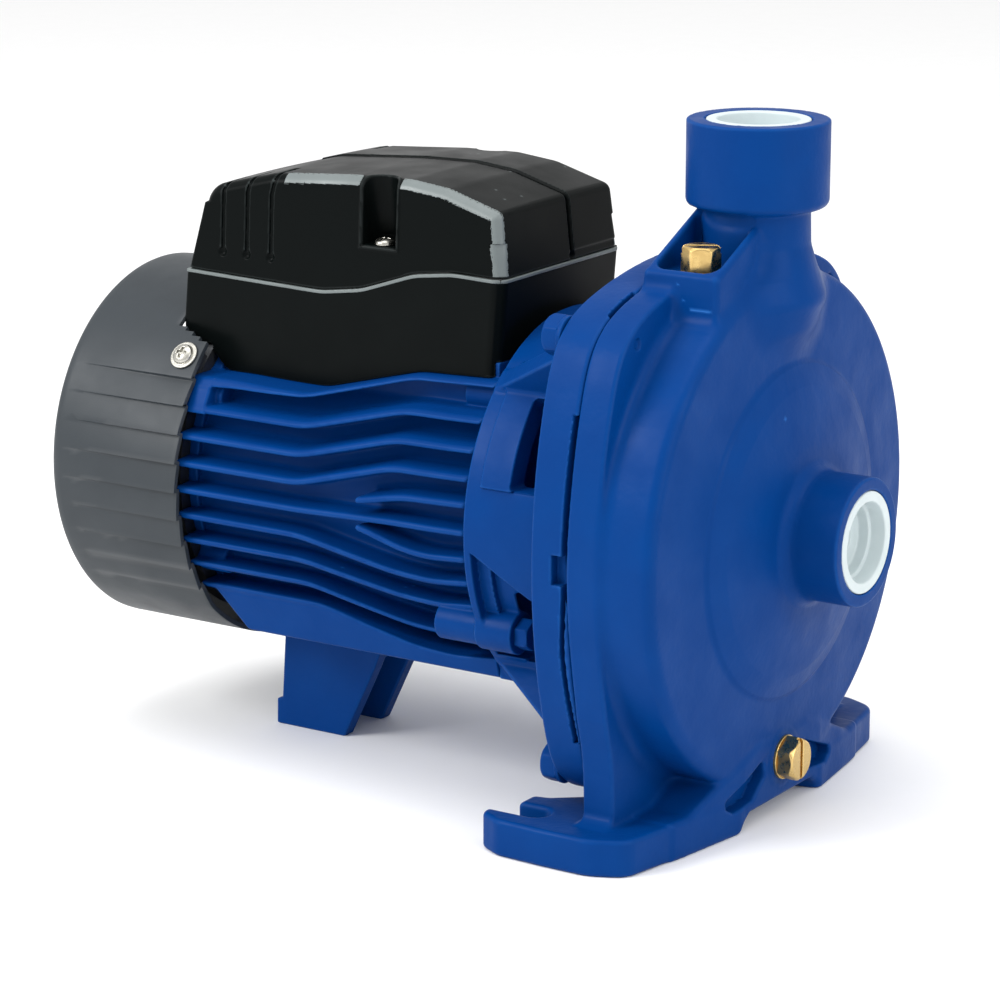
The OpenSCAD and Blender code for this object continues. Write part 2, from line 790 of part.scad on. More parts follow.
module stator_core() {
    color(steel) ring(-68, 0, rotor_r + air_gap, stator_r);
}

module stator_winding() {
    color([0.60, 0.34, 0.16]) {
        turned([[32, -68], [32, -82], [35, -85], [43, -85], [46, -82], [46, -68]]);
        turned([[32, 0], [32, 14], [35, 17], [43, 17], [46, 14], [46, 0]]);
    }
}

module rear_end_shield() {
    hub_end = rear_bearing_x + rear_bearing_w + 1;
    lug = 66;
    color([0.66, 0.67, 0.68]) difference() {
        union() {
            ring(frame_rear_x - 6, frame_rear_x, 8, 60);
            ring(frame_rear_x - 6, hub_end, 8, 23);
            ring(frame_rear_x - 1, frame_rear_x + 4, 42, stator_r - eps);
            for (a = COVER_SCREW_ANGLES) turned_about_shaft(a)
                block([frame_rear_x - 6, 50, -5], [frame_rear_x - 0.5, lug, 5]);
        }
        bar(rear_bearing_x - 1.5, hub_end + 1, 17.5);
        four_corners(end_screw_y, end_screw_z) bar(frame_rear_x - 7, frame_rear_x + 1, 2.3);
        cover_screw_shanks(1.9);
        for (a = [0 : 60 : 300]) turned_about_shaft(a) bar(frame_rear_x - 7, frame_rear_x + 1, 5, 0, 34);
    }
}

module end_shield_screws() {
    color(steel) four_corners(end_screw_y, end_screw_z) {
        bar(frame_rear_x - 8.6, frame_rear_x - 6, 3.9);
        bar(frame_rear_x - 7, frame_rear_x + 10, 2.05);
    }
}

// Radial places of the fan cover's screws, along local +Z from the shaft axis
module at_cover_screws() {
    for (a = COVER_SCREW_ANGLES)
        translate([cover_screw_x, 0, axis_h]) rotate([a, 0, 0]) rotate([-90, 0, 0]) children();
}

module cover_screw_shanks(r) {
    at_cover_screws() translate([0, 0, 54]) cylinder(h = 20, r = r);
}

module fan_cover_screws() {
    color(steel) at_cover_screws() {
        translate([0, 0, 56]) cylinder(h = fan_cover_r - 55, r = 1.85);
        translate([0, 0, fan_cover_r]) cylinder(h = 0.9, r = 5.4);
        translate([0, 0, fan_cover_r + 0.8]) cylinder(h = 2.4, r = 3.9);
    }
}

// Ring slots in the back of the fan cover, broken by spokes
module grille_slots() {
    difference() {
        for (r = [16 : 6 : 58]) ring(-half_length - 1, -half_length + 3, r, r + 3);
        for (a = [0 : 60 : 120]) turned_about_shaft(a)
            block([-half_length - 2, -2, -70], [-half_length + 4, 2, 70]);
    }
}

// Ribbed wall of the fan cover, cut across the shaft
module ribbed_wall() {
    r = fan_cover_r;
    rise = [for (k = [0 : 8]) 33.8 - 8.86 * k];
    difference() {
        union() {
            circle(r);
            for (a = rise) {
                rotate(a) translate([r - 1, -0.7]) square([1.5, 1.4]);
                rotate(180 - a) translate([r - 1, -0.7]) square([1.5, 1.4]);
            }
        }
        circle(r - fan_cover_t);
    }
}

module fan_cover() {
    r = fan_cover_r;
    t = fan_cover_t;
    rib_end_x = -142;
    color(black) difference() {
        union() {
            turned([
                [0, -half_length], [r - 4, -half_length], [r - 1.2, -half_length + 1.2],
                [r, -half_length + 4], [r, rib_end_x], [r - t, rib_end_x],
                [r - t, -half_length + 4.4], [r - 4.4, -half_length + t], [0, -half_length + t]
            ]);
            across(rib_end_x, fan_cover_front_x) ribbed_wall();
        }
        grille_slots();
        cover_screw_shanks(2.2);
        along(-50, 50) polygon([[-107.6, 53.2], [-91, 49.6], [-91, 75], [-107.6, 75]]);
    }
}

// Terminal box ---------------------------------------------------------------------------------

// Region of the X-height plane under the parting line
module under_parting() {
    left = -110;
    right = 36;
    line = [for (p = parting) [p[0] < -106 ? left : p[0] > 33 ? right : p[0], p[1]]];
    polygon(concat([[left, 20]], line, [[right, 20]]));
}

module box_base_outline() {
    lower = [for (p = seam) [min(max(p[0], box_rear_x), box_front_x), p[1]]];
    intersection() {
        polygon(concat(lower, [[box_front_x, 90], [box_rear_x, 90]]));
        under_parting();
    }
}

module box_pillars(z0, z1, r) {
    for (sy = [-1, 1]) post(z0, z1, r, lid_screw_x, sy * lid_screw_y);
}

module terminal_box_base() {
    w = box_wall;
    color(black) difference() {
        union() {
            difference() {
                along(-box_half_w, box_half_w) box_base_outline();
                block([-89, w - box_half_w, box_floor_z + w], [box_front_x - w, box_half_w - w, 100]);
                block([box_rear_x + w, w - box_half_w, 65], [-88, box_half_w - w, 100]);
                block([-90.5, 1.9 - box_half_w, 0], [box_front_x - 2, box_half_w - 1.9, box_floor_z]);
            }
            intersection() {
                box_pillars(box_floor_z + 1, 100, 4.6);
                along(-box_half_w, box_half_w) under_parting();
            }
        }
        rim_frame(1.3, 2.75, 1.2);
        bar(box_rear_x - 1, frame_rear_x, 61.5);
        bar(frame_rear_x - 1, frame_rear_x + 4.5, end_ring_r + 0.3);
        bar(box_front_x - 3, box_front_x + 1, end_ring_r + 0.3);
        box_pillars(box_floor_z + 4, 100, 1.6);
        translate([gland_x, box_half_w - w - 1, axis_h + gland_z]) rotate([-90, 0, 0])
            cylinder(h = w + 2, r = 7.6);
        block([-14, -9, box_floor_z - 1], [14, 9, box_floor_z + w + 1]);
        for (sx = BOX_SCREW_X, sy = [-28, 28]) post(box_floor_z - 1, box_floor_z + w + 1, 2.2, sx, sy);
        post(box_floor_z + w - 1.6, box_floor_z + w + 1, 1.85, -70, -24);
    }
}

// Convex body of the lid, grown or shrunk by a wall thickness
module lid_body(shrink) {
    w = box_half_w - shrink;
    rear = box_rear_x + shrink;
    front = box_front_x - shrink;
    crest = [for (p = roof)
        [p[0] + (p[0] < -90 ? shrink : p[0] > 20 ? -shrink : 0), p[1] - shrink]];
    hull() {
        along(-w, w) polygon([[rear, 60], [rear, 74], [front, 84], [front, 60]]);
        along(2.2 - w, w - 2.2) polygon(concat(raised(crest, -1.6), [[front - 10, 70], [rear + 8, 70]]));
        along(-9, 9) polygon(concat(crest, [[front - 10, 70], [rear + 8, 70]]));
    }
}

module lid_pockets(r) {
    for (sy = [-1, 1]) hull() {
        post(89, 122, r, lid_screw_x, sy * lid_screw_y);
        post(89, 122, r, lid_screw_x, sy * (lid_screw_y + 14));
    }
}

module terminal_box_lid() {
    color(black) difference() {
        union() {
            difference() {
                lid_body(0);
                lid_body(box_wall);
            }
            intersection() {
                lid_body(0);
                union() {
                    for (sy = [-1, 1]) post(70, 122, 8.2, lid_screw_x, sy * lid_screw_y);
                }
            }
        }
        along(-60, 60) under_parting();
        lid_pockets(6);
        box_pillars(60, 90, 2.2);
        for (x = [-90.5, -80, -69.5], sy = [-1, 1])
            block([x - 0.5, sy * 38.6 - 0.8, 82], [x + 0.5, sy * 38.6 + 0.8, 122]);
        block([box_front_x - 13, 5, 82], [box_front_x + 1, 6, 122]);
    }
}

// Rectangular frame under the parting line, on the inner edge of the box wall
module rim_frame(outer_inset, inner_inset, thickness) {
    difference() {
        intersection() {
            along(outer_inset - box_half_w, box_half_w - outer_inset)
                band(raised(parting, -thickness), thickness + 1);
            block([box_rear_x + outer_inset, -40, 60], [box_front_x - outer_inset, 40, 100]);
        }
        block(
            [box_rear_x + inner_inset, inner_inset - box_half_w, 60],
            [box_front_x - inner_inset, box_half_w - inner_inset, 100]
        );
    }
}

module lid_seal() {
    color(rubber) intersection() {
        rim_frame(1.35, 2.7, 1.2);
        along(-60, 60) under_parting();
    }
}

module lid_screws() {
    color(steel) for (sy = [-1, 1]) {
        post(89.05, 91.8, 3.7, lid_screw_x, sy * lid_screw_y);
        post(62, 90, 1.55, lid_screw_x, sy * lid_screw_y);
    }
}

module box_gasket() {
    color(rubber) difference() {
        block([-12, -8.9, box_floor_z - 0.5], [12, 8.9, box_floor_z + 3.6]);
        block([-10, -7, box_floor_z - 1], [10, 7, box_floor_z + 4]);
    }
}

module box_screws() {
    color(steel) for (sx = BOX_SCREW_X, sy = [-28, 28]) {
        post(box_floor_z + box_wall, box_floor_z + box_wall + 2.4, 3.6, sx, sy);
        post(box_floor_z - 8, box_floor_z + box_wall + 1, 1.65, sx, sy);
    }
}

module terminal_block() {
    floor_z = box_floor_z + box_wall;
    color([0.85, 0.80, 0.65]) difference() {
        union() {
            block([-22, -27, floor_z], [-15, 18, floor_z + 8]);
            block([15, -20, floor_z], [20, 20, floor_z + 8]);
            block([-22, -20, floor_z + 6], [20, -10, floor_z + 12]);
        }
        for (i = [0 : 5]) post(floor_z + 7, floor_z + 13, 1.5, -18 + 7 * i, -15);
    }
}

module terminal_screws() {
    top = box_floor_z + box_wall + 12;
    color(brass) for (i = [0 : 5]) {
        post(top, top + 2, 2.6, -18 + 7 * i, -15);
        post(top - 4, top + 1, 1.45, -18 + 7 * i, -15);
    }
}

module capacitor() {
    color([0.82, 0.82, 0.80]) bar(-84, -30, 13, 10, box_floor_z + box_wall + 13.6);
}

module capacitor_strap() {
    z = box_floor_z + box_wall + 13.6;
    color(steel) difference() {
        bar(-62, -52, 13.55, 10, z);
        bar(-63, -51, 13.02, 10, z);
    }
}

module earth_screw() {
    floor_z = box_floor_z + box_wall;
    color(brass) {
        post(floor_z, floor_z + 2.5, 3.5, -70, -24);
        post(floor_z - 1.5, floor_z + 1, 1.8, -70, -24);
    }
}

// Cable gland ----------------------------------------------------------------------------------

// Ring about the gland's axis, y measured outwards from the shaft plane
module gland_ring(y0, y1, r_in, r_out, sides = 72) {
    translate([gland_x, y0, axis_h + gland_z]) rotate([-90, 0, 0]) difference() {
        cylinder(h = y1 - y0, r = r_out, $fn = sides);
        translate([0, 0, -1]) cylinder(h = y1 - y0 + 2, r = r_in);
    }
}

module gland_body() {
    color(black) {
        gland_ring(box_half_w, box_half_w + 4, 6, 19 / sqrt(3), 6);
        gland_ring(box_half_w - 8, box_half_w + 12.8, 6, 7.55);
    }
}

module gland_locknut() {
    color(black) gland_ring(box_half_w - box_wall - 4, box_half_w - box_wall, 7.55, 19 / sqrt(3), 6);
}

module gland_nut() {
    color(black) {
        gland_ring(box_half_w + 4.4, box_half_w + 13, 7.6, 19 / sqrt(3), 6);
        gland_ring(box_half_w + 12.9, box_half_w + 16, 5.4, 9);
    }
}

module gland_seal() {
    color(rubber) gland_ring(box_half_w + 3, box_half_w + 12.8, gland_bore_r, 6);
}

pump_casing();
motor_bracket();
casing_oring();
casing_bolts();
motor_bolts();
priming_plug();
priming_washer();
drain_plug();
drain_washer();
suction_cap();
discharge_cap();
impeller();
impeller_key();
impeller_nut();
seal_seat();
seal_cup();
seal_rotor();
seal_spring();
water_deflector();
shaft();
rotor_core();
rotor_cage();
stator_core();
stator_winding();
front_bearing_outer();
front_bearing_balls();
front_bearing_inner();
front_bearing_ring();
rear_bearing_outer();
rear_bearing_balls();
rear_bearing_inner();
wave_washer();
motor_frame();
motor_foot();
motor_foot_screws();
rear_end_shield();
end_shield_screws();
cooling_fan();
fan_ring();
fan_cover();
fan_cover_screws();
terminal_box_base();
terminal_box_lid();
lid_seal();
lid_screws();
box_gasket();
box_screws();
terminal_block();
terminal_screws();
capacitor();
capacitor_strap();
earth_screw();
gland_body();
gland_locknut();
gland_nut();
gland_seal();
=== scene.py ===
"""Visible shape and finish of the close-coupled centrifugal water pump.

Castings, mouldings and fasteners are distance fields in millimetres, meshed here on a grid and pulled
onto the exact surface. x runs along the shaft, y across, and z is the height above the shaft axis.
"""

import json
import math

import bmesh
import bpy
import numpy as np
from mathutils import Matrix, Vector


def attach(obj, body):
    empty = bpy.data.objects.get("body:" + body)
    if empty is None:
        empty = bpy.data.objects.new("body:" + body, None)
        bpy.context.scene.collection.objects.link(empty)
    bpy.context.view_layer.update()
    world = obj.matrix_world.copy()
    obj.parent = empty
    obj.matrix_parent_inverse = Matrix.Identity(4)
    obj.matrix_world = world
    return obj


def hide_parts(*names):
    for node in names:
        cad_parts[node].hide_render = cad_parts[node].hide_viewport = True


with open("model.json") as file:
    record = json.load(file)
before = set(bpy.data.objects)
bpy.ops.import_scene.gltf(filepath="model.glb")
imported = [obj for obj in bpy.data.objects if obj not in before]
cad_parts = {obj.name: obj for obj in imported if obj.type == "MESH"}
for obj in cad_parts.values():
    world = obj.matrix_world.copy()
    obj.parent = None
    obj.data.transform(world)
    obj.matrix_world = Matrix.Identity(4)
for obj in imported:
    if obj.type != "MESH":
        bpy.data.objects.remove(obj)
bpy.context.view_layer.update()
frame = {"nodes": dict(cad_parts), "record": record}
SHAFT_Z = 101.0
COARSE = 1.0
COS_30 = 0.8660254
COS_45 = 0.70711
F = np.float32


# Distance helpers -----------------------------------------------------------------------------

def smin(a, b, k):
    """Union of two fields with a fillet about k wide."""
    h = np.maximum(k - np.abs(a - b), 0) / k
    return np.minimum(a, b) - h * h * (k * 0.25)


def smax(a, b, k):
    """Intersection of two fields with an eased edge about k wide."""
    h = np.maximum(k - np.abs(a - b), 0) / k
    return np.maximum(a, b) + h * h * (k * 0.25)


def cut(a, b, k=0.6):
    """a without b, with a small rounded edge."""
    return smax(a, -b, k)


def slab(d2, t, t0, t1, e=0.0):
    """A flat shape given thickness from t0 to t1, with its edges rounded by e."""
    a = d2 + e
    b = np.abs(t - (t0 + t1) / 2) - (t1 - t0) / 2 + e
    return np.minimum(np.maximum(a, b), 0) + np.hypot(np.maximum(a, 0), np.maximum(b, 0)) - e


def rect(u, v, u0, u1, v0, v1, e=0.0):
    """A rectangle from (u0, v0) to (u1, v1), with its corners rounded by e."""
    a = np.abs(u - (u0 + u1) / 2) - (u1 - u0) / 2 + e
    b = np.abs(v - (v0 + v1) / 2) - (v1 - v0) / 2 + e
    return np.minimum(np.maximum(a, b), 0) + np.hypot(np.maximum(a, 0), np.maximum(b, 0)) - e


def block(x, y, z, lo, hi, e=0.0):
    """A box between two corners, with its edges rounded by e."""
    return slab(rect(x, y, lo[0], hi[0], lo[1], hi[1], e), z, lo[2], hi[2], e)


def rod(u, v, t, r, t0, t1, e=0.0):
    """A round bar along t."""
    return slab(np.hypot(u, v) - r, t, t0, t1, e)


def hexagon(u, v, flats):
    """A hexagon by its width across flats, with two flats facing v."""
    a, b = np.abs(u), np.abs(v)
    return np.maximum(b, a * COS_30 + b * 0.5) - flats / 2


def rounded(points, steps=7):
    """Closed outline with corners rounded: each point is (a, b) or (a, b, radius)."""
    out = []
    n = len(points)
    for i, p in enumerate(points):
        r = p[2] if len(p) > 2 else 0
        c = np.array(p[:2], float)
        if r <= 0:
            out.append(tuple(c))
            continue
        u = np.array(points[i - 1][:2], float) - c
        v = np.array(points[(i + 1) % n][:2], float) - c
        lu, lv = np.linalg.norm(u), np.linalg.norm(v)
        u, v = u / lu, v / lv
        half = math.acos(max(-1, min(1, float(u @ v)))) / 2
        back = min(r / math.tan(half), lu * 0.49, lv * 0.49)
        rr = back * math.tan(half)
        centre = c + (u + v) / np.linalg.norm(u + v) * (rr / math.sin(half))
        a0, a1 = c + u * back - centre, c + v * back - centre
        turn = math.atan2(a0[0] * a1[1] - a0[1] * a1[0], float(a0 @ a1))
        for s in range(steps + 1):
            t = turn * s / steps
            co, si = math.cos(t), math.sin(t)
            out.append((centre[0] + a0[0] * co - a0[1] * si, centre[1] + a0[0] * si + a0[1] * co))
    return out


def poly(u, v, points):
    """Exact signed distance to a closed outline."""
    best = np.full(u.shape, 1e9, F)
    sign = np.ones(u.shape, F)
    for i in range(len(points)):
        ax, ay = points[i - 1]
        ex, ey = points[i][0] - ax, points[i][1] - ay
        ll = ex * ex + ey * ey
        if ll < 1e-9:
            continue
        wx, wy = u - F(ax), v - F(ay)
        t = np.clip((wx * ex + wy * ey) / ll, 0, 1)
        dx, dy = wx - ex * t, wy - ey * t
        best = np.minimum(best, dx * dx + dy * dy)
        c1, c2, c3 = v >= ay, v < ay + ey, ex * wy > ey * wx
        sign = np.where((c1 & c2 & c3) | ~(c1 | c2 | c3), -sign, sign)
    return sign * np.sqrt(best)


def line_z(x, points, smooth=0.0):
    """Height and slope of a broken line at x, its bends eased over a distance."""
    px = np.array([p[0] for p in points], float)
    pz = np.array([p[1] for p in points], float)
    xs = np.arange(px[0] - 20, px[-1] + 20, 0.5)
    zs = np.interp(xs, px, pz)
    if smooth > 0:
        k = max(1, int(smooth / 0.5))
        w = np.hanning(2 * k + 3)[1:-1]
        pad = np.pad(zs, k, mode="edge")
        zs = np.convolve(pad, w / w.sum(), "valid")
    slope = np.gradient(zs, xs)
    return np.interp(x, xs, zs).astype(F), np.interp(x, xs, slope).astype(F)


def above(x, z, points, smooth):
    """Distance above a broken line."""
    c, m = line_z(x, points, smooth)
    return (z - c) / np.sqrt(1 + m * m)


# Meshing --------------------------------------------------------------------------------------

def gradient(f, p, e):
    """Gradient of a field at points, from four samples at a distance e."""
    g = np.zeros_like(p)
    for s in ((1, 1, 1), (1, -1, -1), (-1, 1, -1), (-1, -1, 1)):
        d = f(p[:, 0] + F(s[0] * e), p[:, 1] + F(s[1] * e), p[:, 2] + F(s[2] * e))
        for a in range(3):
            g[:, a] += s[a] * d
    return g / (4 * e)


def extract(f, lo, hi, h):
    """Quads of the surface f = 0 inside a box, and their normals."""
    # a coarse grid first, to find the groups of cells that lie near the surface
    group = 4
    lo = np.array(lo, float) - 2 * h
    n = (np.ceil((np.array(hi, float) + 2 * h - lo) / h / group).astype(int) + 1) * group
    m = n // group
    centres = [lo[a] + (np.arange(m[a]) + 0.5 - 0.5 / group) * group * h for a in range(3)]
    gx, gy, gz = np.meshgrid(*centres, indexing="ij")
    near = f(gx.ravel().astype(F), gy.ravel().astype(F), gz.ravel().astype(F)).reshape(m)
    keep = np.abs(near) < group * h * 1.25
    vol = np.where(near < 0, F(-9), F(9))
    for axis in range(3):
        vol = np.repeat(vol, group, axis)
    bi, bj, bk = np.nonzero(keep)
    off = np.arange(group)
    oi, oj, ok = [o.ravel() for o in np.meshgrid(off, off, off, indexing="ij")]
    batch = 30000
    for s in range(0, len(bi), batch):
        i = (bi[s:s + batch, None] * group + oi).ravel()
        j = (bj[s:s + batch, None] * group + oj).ravel()
        k = (bk[s:s + batch, None] * group + ok).ravel()
        vol[i, j, k] = f((lo[0] + i * h).astype(F), (lo[1] + j * h).astype(F), (lo[2] + k * h).astype(F))
    # one point in each crossed cell, at the mean of the crossings of its edges
    inside = vol < 0
    count = np.zeros(n - 1, np.int8)
    corners = [(a, b, d) for a in (0, 1) for b in (0, 1) for d in (0, 1)]
    for a, b, d in corners:
        count += inside[a:n[0] - 1 + a, b:n[1] - 1 + b, d:n[2] - 1 + d]
    ci, cj, ck = np.nonzero((count > 0) & (count < 8))
    ids = np.full(n - 1, -1, np.int32)
    ids[ci, cj, ck] = np.arange(len(ci))
    total = np.zeros((len(ci), 3))
    hits = np.zeros(len(ci))
    for a, b, d in corners:
        va = vol[ci + a, cj + b, ck + d]
        for axis in range(3):
            q = [a, b, d]
            if q[axis]:
                continue
            q[axis] = 1
            vb = vol[ci + q[0], cj + q[1], ck + q[2]]
            cross = (va < 0) != (vb < 0)
            t = np.where(cross, va / np.where(cross, va - vb, 1), 0)
            pos = np.repeat(np.array([[a, b, d]], float), len(ci), 0)
            pos[:, axis] += t
            total += pos * cross[:, None]
            hits += cross
    p = (np.stack([ci, cj, ck], 1) + total / hits[:, None]) * h + lo
    p = p.astype(F)
    # one quad across each crossed grid edge
    quads = []
    for axis in range(3):
        sl0 = [slice(1, -1)] * 3
        sl1 = [slice(1, -1)] * 3
        sl0[axis], sl1[axis] = slice(0, -1), slice(1, None)
        a, b = inside[tuple(sl0)], inside[tuple(sl1)]
        i, j, k = np.nonzero(a != b)
        flip = b[i, j, k]
        g = np.stack([i, j, k], 1) + 1
        g[:, axis] -= 1
        u, v = (axis + 1) % 3, (axis + 2) % 3
        du, dv = np.zeros(3, int), np.zeros(3, int)
        du[u], dv[v] = 1, 1
        q = np.stack([ids[tuple((g - x).T)] for x in (du + dv, dv, du * 0, du)], 1)
        q[flip] = q[flip][:, ::-1]
        quads.append(q)
    quads = np.concatenate(quads)
    quads = quads[(quads >= 0).all(1)]
    # the points are pulled onto the exact surface, by less than a cell at a time
    for _ in range(3):
        d = f(p[:, 0], p[:, 1], p[:, 2])
        g = gradient(f, p, h * 0.2)
        move = g * (d / np.maximum((g * g).sum(1), 0.2))[:, None]
        length = np.linalg.norm(move, axis=1)
        p -= (move * np.minimum(1, 0.7 * h / np.maximum(length, 1e-6))[:, None]).astype(F)
    normal = gradient(f, p, h * 0.12)
    normal /= np.maximum(np.linalg.norm(normal, axis=1), 1e-6)[:, None]
    return p, quads, normal


def to_object(name, p, faces, normal=None):
    """An object from points in millimetres about the shaft axis."""
    me = bpy.data.meshes.new(name)
    co = np.asarray(p, float).copy()
    co[:, 2] += SHAFT_Z
    co *= 0.001
    me.vertices.add(len(co))
    me.vertices.foreach_set("co", co.ravel())
    counts = np.array([len(q) for q in faces])
    flat = np.concatenate([np.asarray(q) for q in faces])
    me.loops.add(len(flat))
    me.loops.foreach_set("vertex_index", flat.astype(np.int32))
    me.polygons.add(len(counts))
    me.polygons.foreach_set("loop_start", (np.cumsum(counts) - counts).astype(np.int32))
    me.update(calc_edges=True)
    me.validate()
    me.polygons.foreach_set("use_smooth", np.ones(len(me.polygons), bool))
    if normal is not None and len(me.vertices) == len(normal):
        me.normals_split_custom_set_from_vertices([tuple(v) for v in normal.astype(float)])
    me.update()
    o = bpy.data.objects.new(name, me)
    bpy.context.scene.collection.objects.link(o)
    return o


def solid(name, f, lo, hi, h, mat, nodes, body="housing", places=None):
    """Meshes the distance field f between lo and hi on a grid of h, once or at several places."""
    p, quads, normal = extract(f, lo, hi, h * COARSE)
    if places:
        ps, qs, ns = [], [], []
        for i, m in enumerate(places):
            r = np.array(m)[:3, :3]
            ps.append(p @ r.T + np.array(m)[:3, 3])
            qs.append((quads if np.linalg.det(r) > 0 else quads[:, ::-1]) + i * len(p))
            ns.append(normal @ r.T)
        p, quads, normal = np.concatenate(ps), np.concatenate(qs), np.concatenate(ns)
    dress(to_object(name, p, quads, normal), mat, nodes, body)


def dress(o, mat, nodes, body="housing"):
    """Gives an object its finish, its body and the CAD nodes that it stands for."""
    o.data.materials.append(mat)
    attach(o, body)
    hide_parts(*nodes)


# Pump end -------------------------------------------------------------------------------------

# Suction face, discharge face and the discharge port's axis
PORT_X, TOP = 149.0, 140.0
OUT_X = 104.8
GROUND = -101
# G1 pipe thread
THREAD_PITCH, THREAD_MINOR = 2.309, 15.145
# Casing bolts, tie bolts of the bracket, end shield screws, plugs and the slots of the front feet
BOLT_Y, BOLT_Z = 65.5, 73.5
TIES = ((54.0, -35.0), (34.0, 42.0))
END_Y, END_Z = 46.0, 30.0
PLUG_X, PLUG_Y = 102.0, -32.5
DRAIN_Z = -81.0
SLOT_X, SLOT_Y = 67, 78

# Half section of the casing about the shaft, and of the discharge neck about its own axis
DOME = rounded([
    (-9, 87.5), (88.3, 87.5), (89.5, 96, 3), (89.5, 117.2, 4.5), (72, 118.5, 9), (59, 119.8, 3),
    (57.5, 121.0, 1.5), (50.5, 123.6, 2.5), (47, 124.4), (31, 127.6, 12), (22.2, 128.9, 5.5),
    (22.2, PORT_X, 0.9), (-9, PORT_X),
])
NECK = rounded([
    (-9, 60), (10, 60), (20, 70, 8), (24, 80, 6), (21, 89, 8), (18.3, 98, 8), (18, 110.2, 2),
    (24.15, 110.8, 3), (24.15, TOP, 0.9), (-9, TOP),
])
# Front feet: the legs and the raised beam seen from the front, and the plate seen from above
LEG = rounded([
    (42, -40), (84, -40), (83.6, -50), (81, -60, 20), (79.8, -70, 20), (79.2, -80, 10), (79, -85, 3),
    (82.3, -88), (82.3, -96), (45, -96), (45, -76, 6),
])
FOOT = rounded([
    (51.2, 82, 1), (51.2, 87.6, 5), (60, 92.4, 10), (78, 93.3, 20), (96, 93.4, 16), (108.6, 87.5, 9),
    (113.4, 62, 12), (118.6, 27, 3), (100, 22), (86.6, 44, 3), (63, 62.5, 3), (57, 64, 2.5), (57, 74, 1.2),
])
HUMP = rounded([
    (-66, -101), (-30, -101, 2), (-22, -95.5, 2), (22, -95.5, 2), (30, -101, 2), (66, -101), (66, -88),
    (57, -87.6, 4), (41, -80.5, 10), (17, -72.3, 12), (-17, -72.3, 12), (-41, -80.5, 10), (-57, -87.6, 4),
    (-66, -88),
])
# Water chamber, the recess in the beam, the block around the priming pocket and the bracket's gussets
CHAMBER = [
    (-9, 80), (84.05, 80), (84.05, 90), (82, 90), (82, 108), (78, 111), (56, 113.5), (48, 117.5), (24, 119),
    (20.5, 119), (20.5, 125), (13.5, 126.5), (-9, 126.5),
]
POCKET = rounded([(39.5, -88.6, 2.4), (14, -78.6, 2), (12.6, -84.5, 2), (20.5, -91.2, 2.4), (33, -92.4, 2.4)])
SHOULDER = rounded([(-43.6, 60), (-43.6, 93.6, 2.2), (-8, 110.3, 1.5), (6, 110.3), (6, 60)])
GUSSET = [(64, 32), (68, 32), (90.5, 64.5), (90.5, 73), (64, 73)]


def outline(y, z):
    """Distance to the bowed square of the two flanges."""
    a = np.hypot(np.abs(y) + 110, z) - 200
    b = np.hypot(y, np.abs(z) + 107.5) - 200
    return smax(smax(a, b, 6), np.hypot(y, z) - 105.5, 5)


def port(u, v, t, reach, bore):
    """Hollow of a port whose face is at t = 0 and which runs towards negative t."""
    r = np.hypot(u, v)
    wave = 0.5 - 0.5 * np.cos(2 * np.pi * (t / THREAD_PITCH) + np.arctan2(v, u))
    thread = r - THREAD_MINOR - 0.55 * wave * (np.abs(t + 16) < 5)
    d = np.minimum(slab(thread, t, -23, 4), slab(r - bore, t, -reach, 4))
    d = np.minimum(d, slab(r - 15.4, t, -11, 4))
    return np.minimum(d, slab(r - 17.8, t, -1.2, 4))


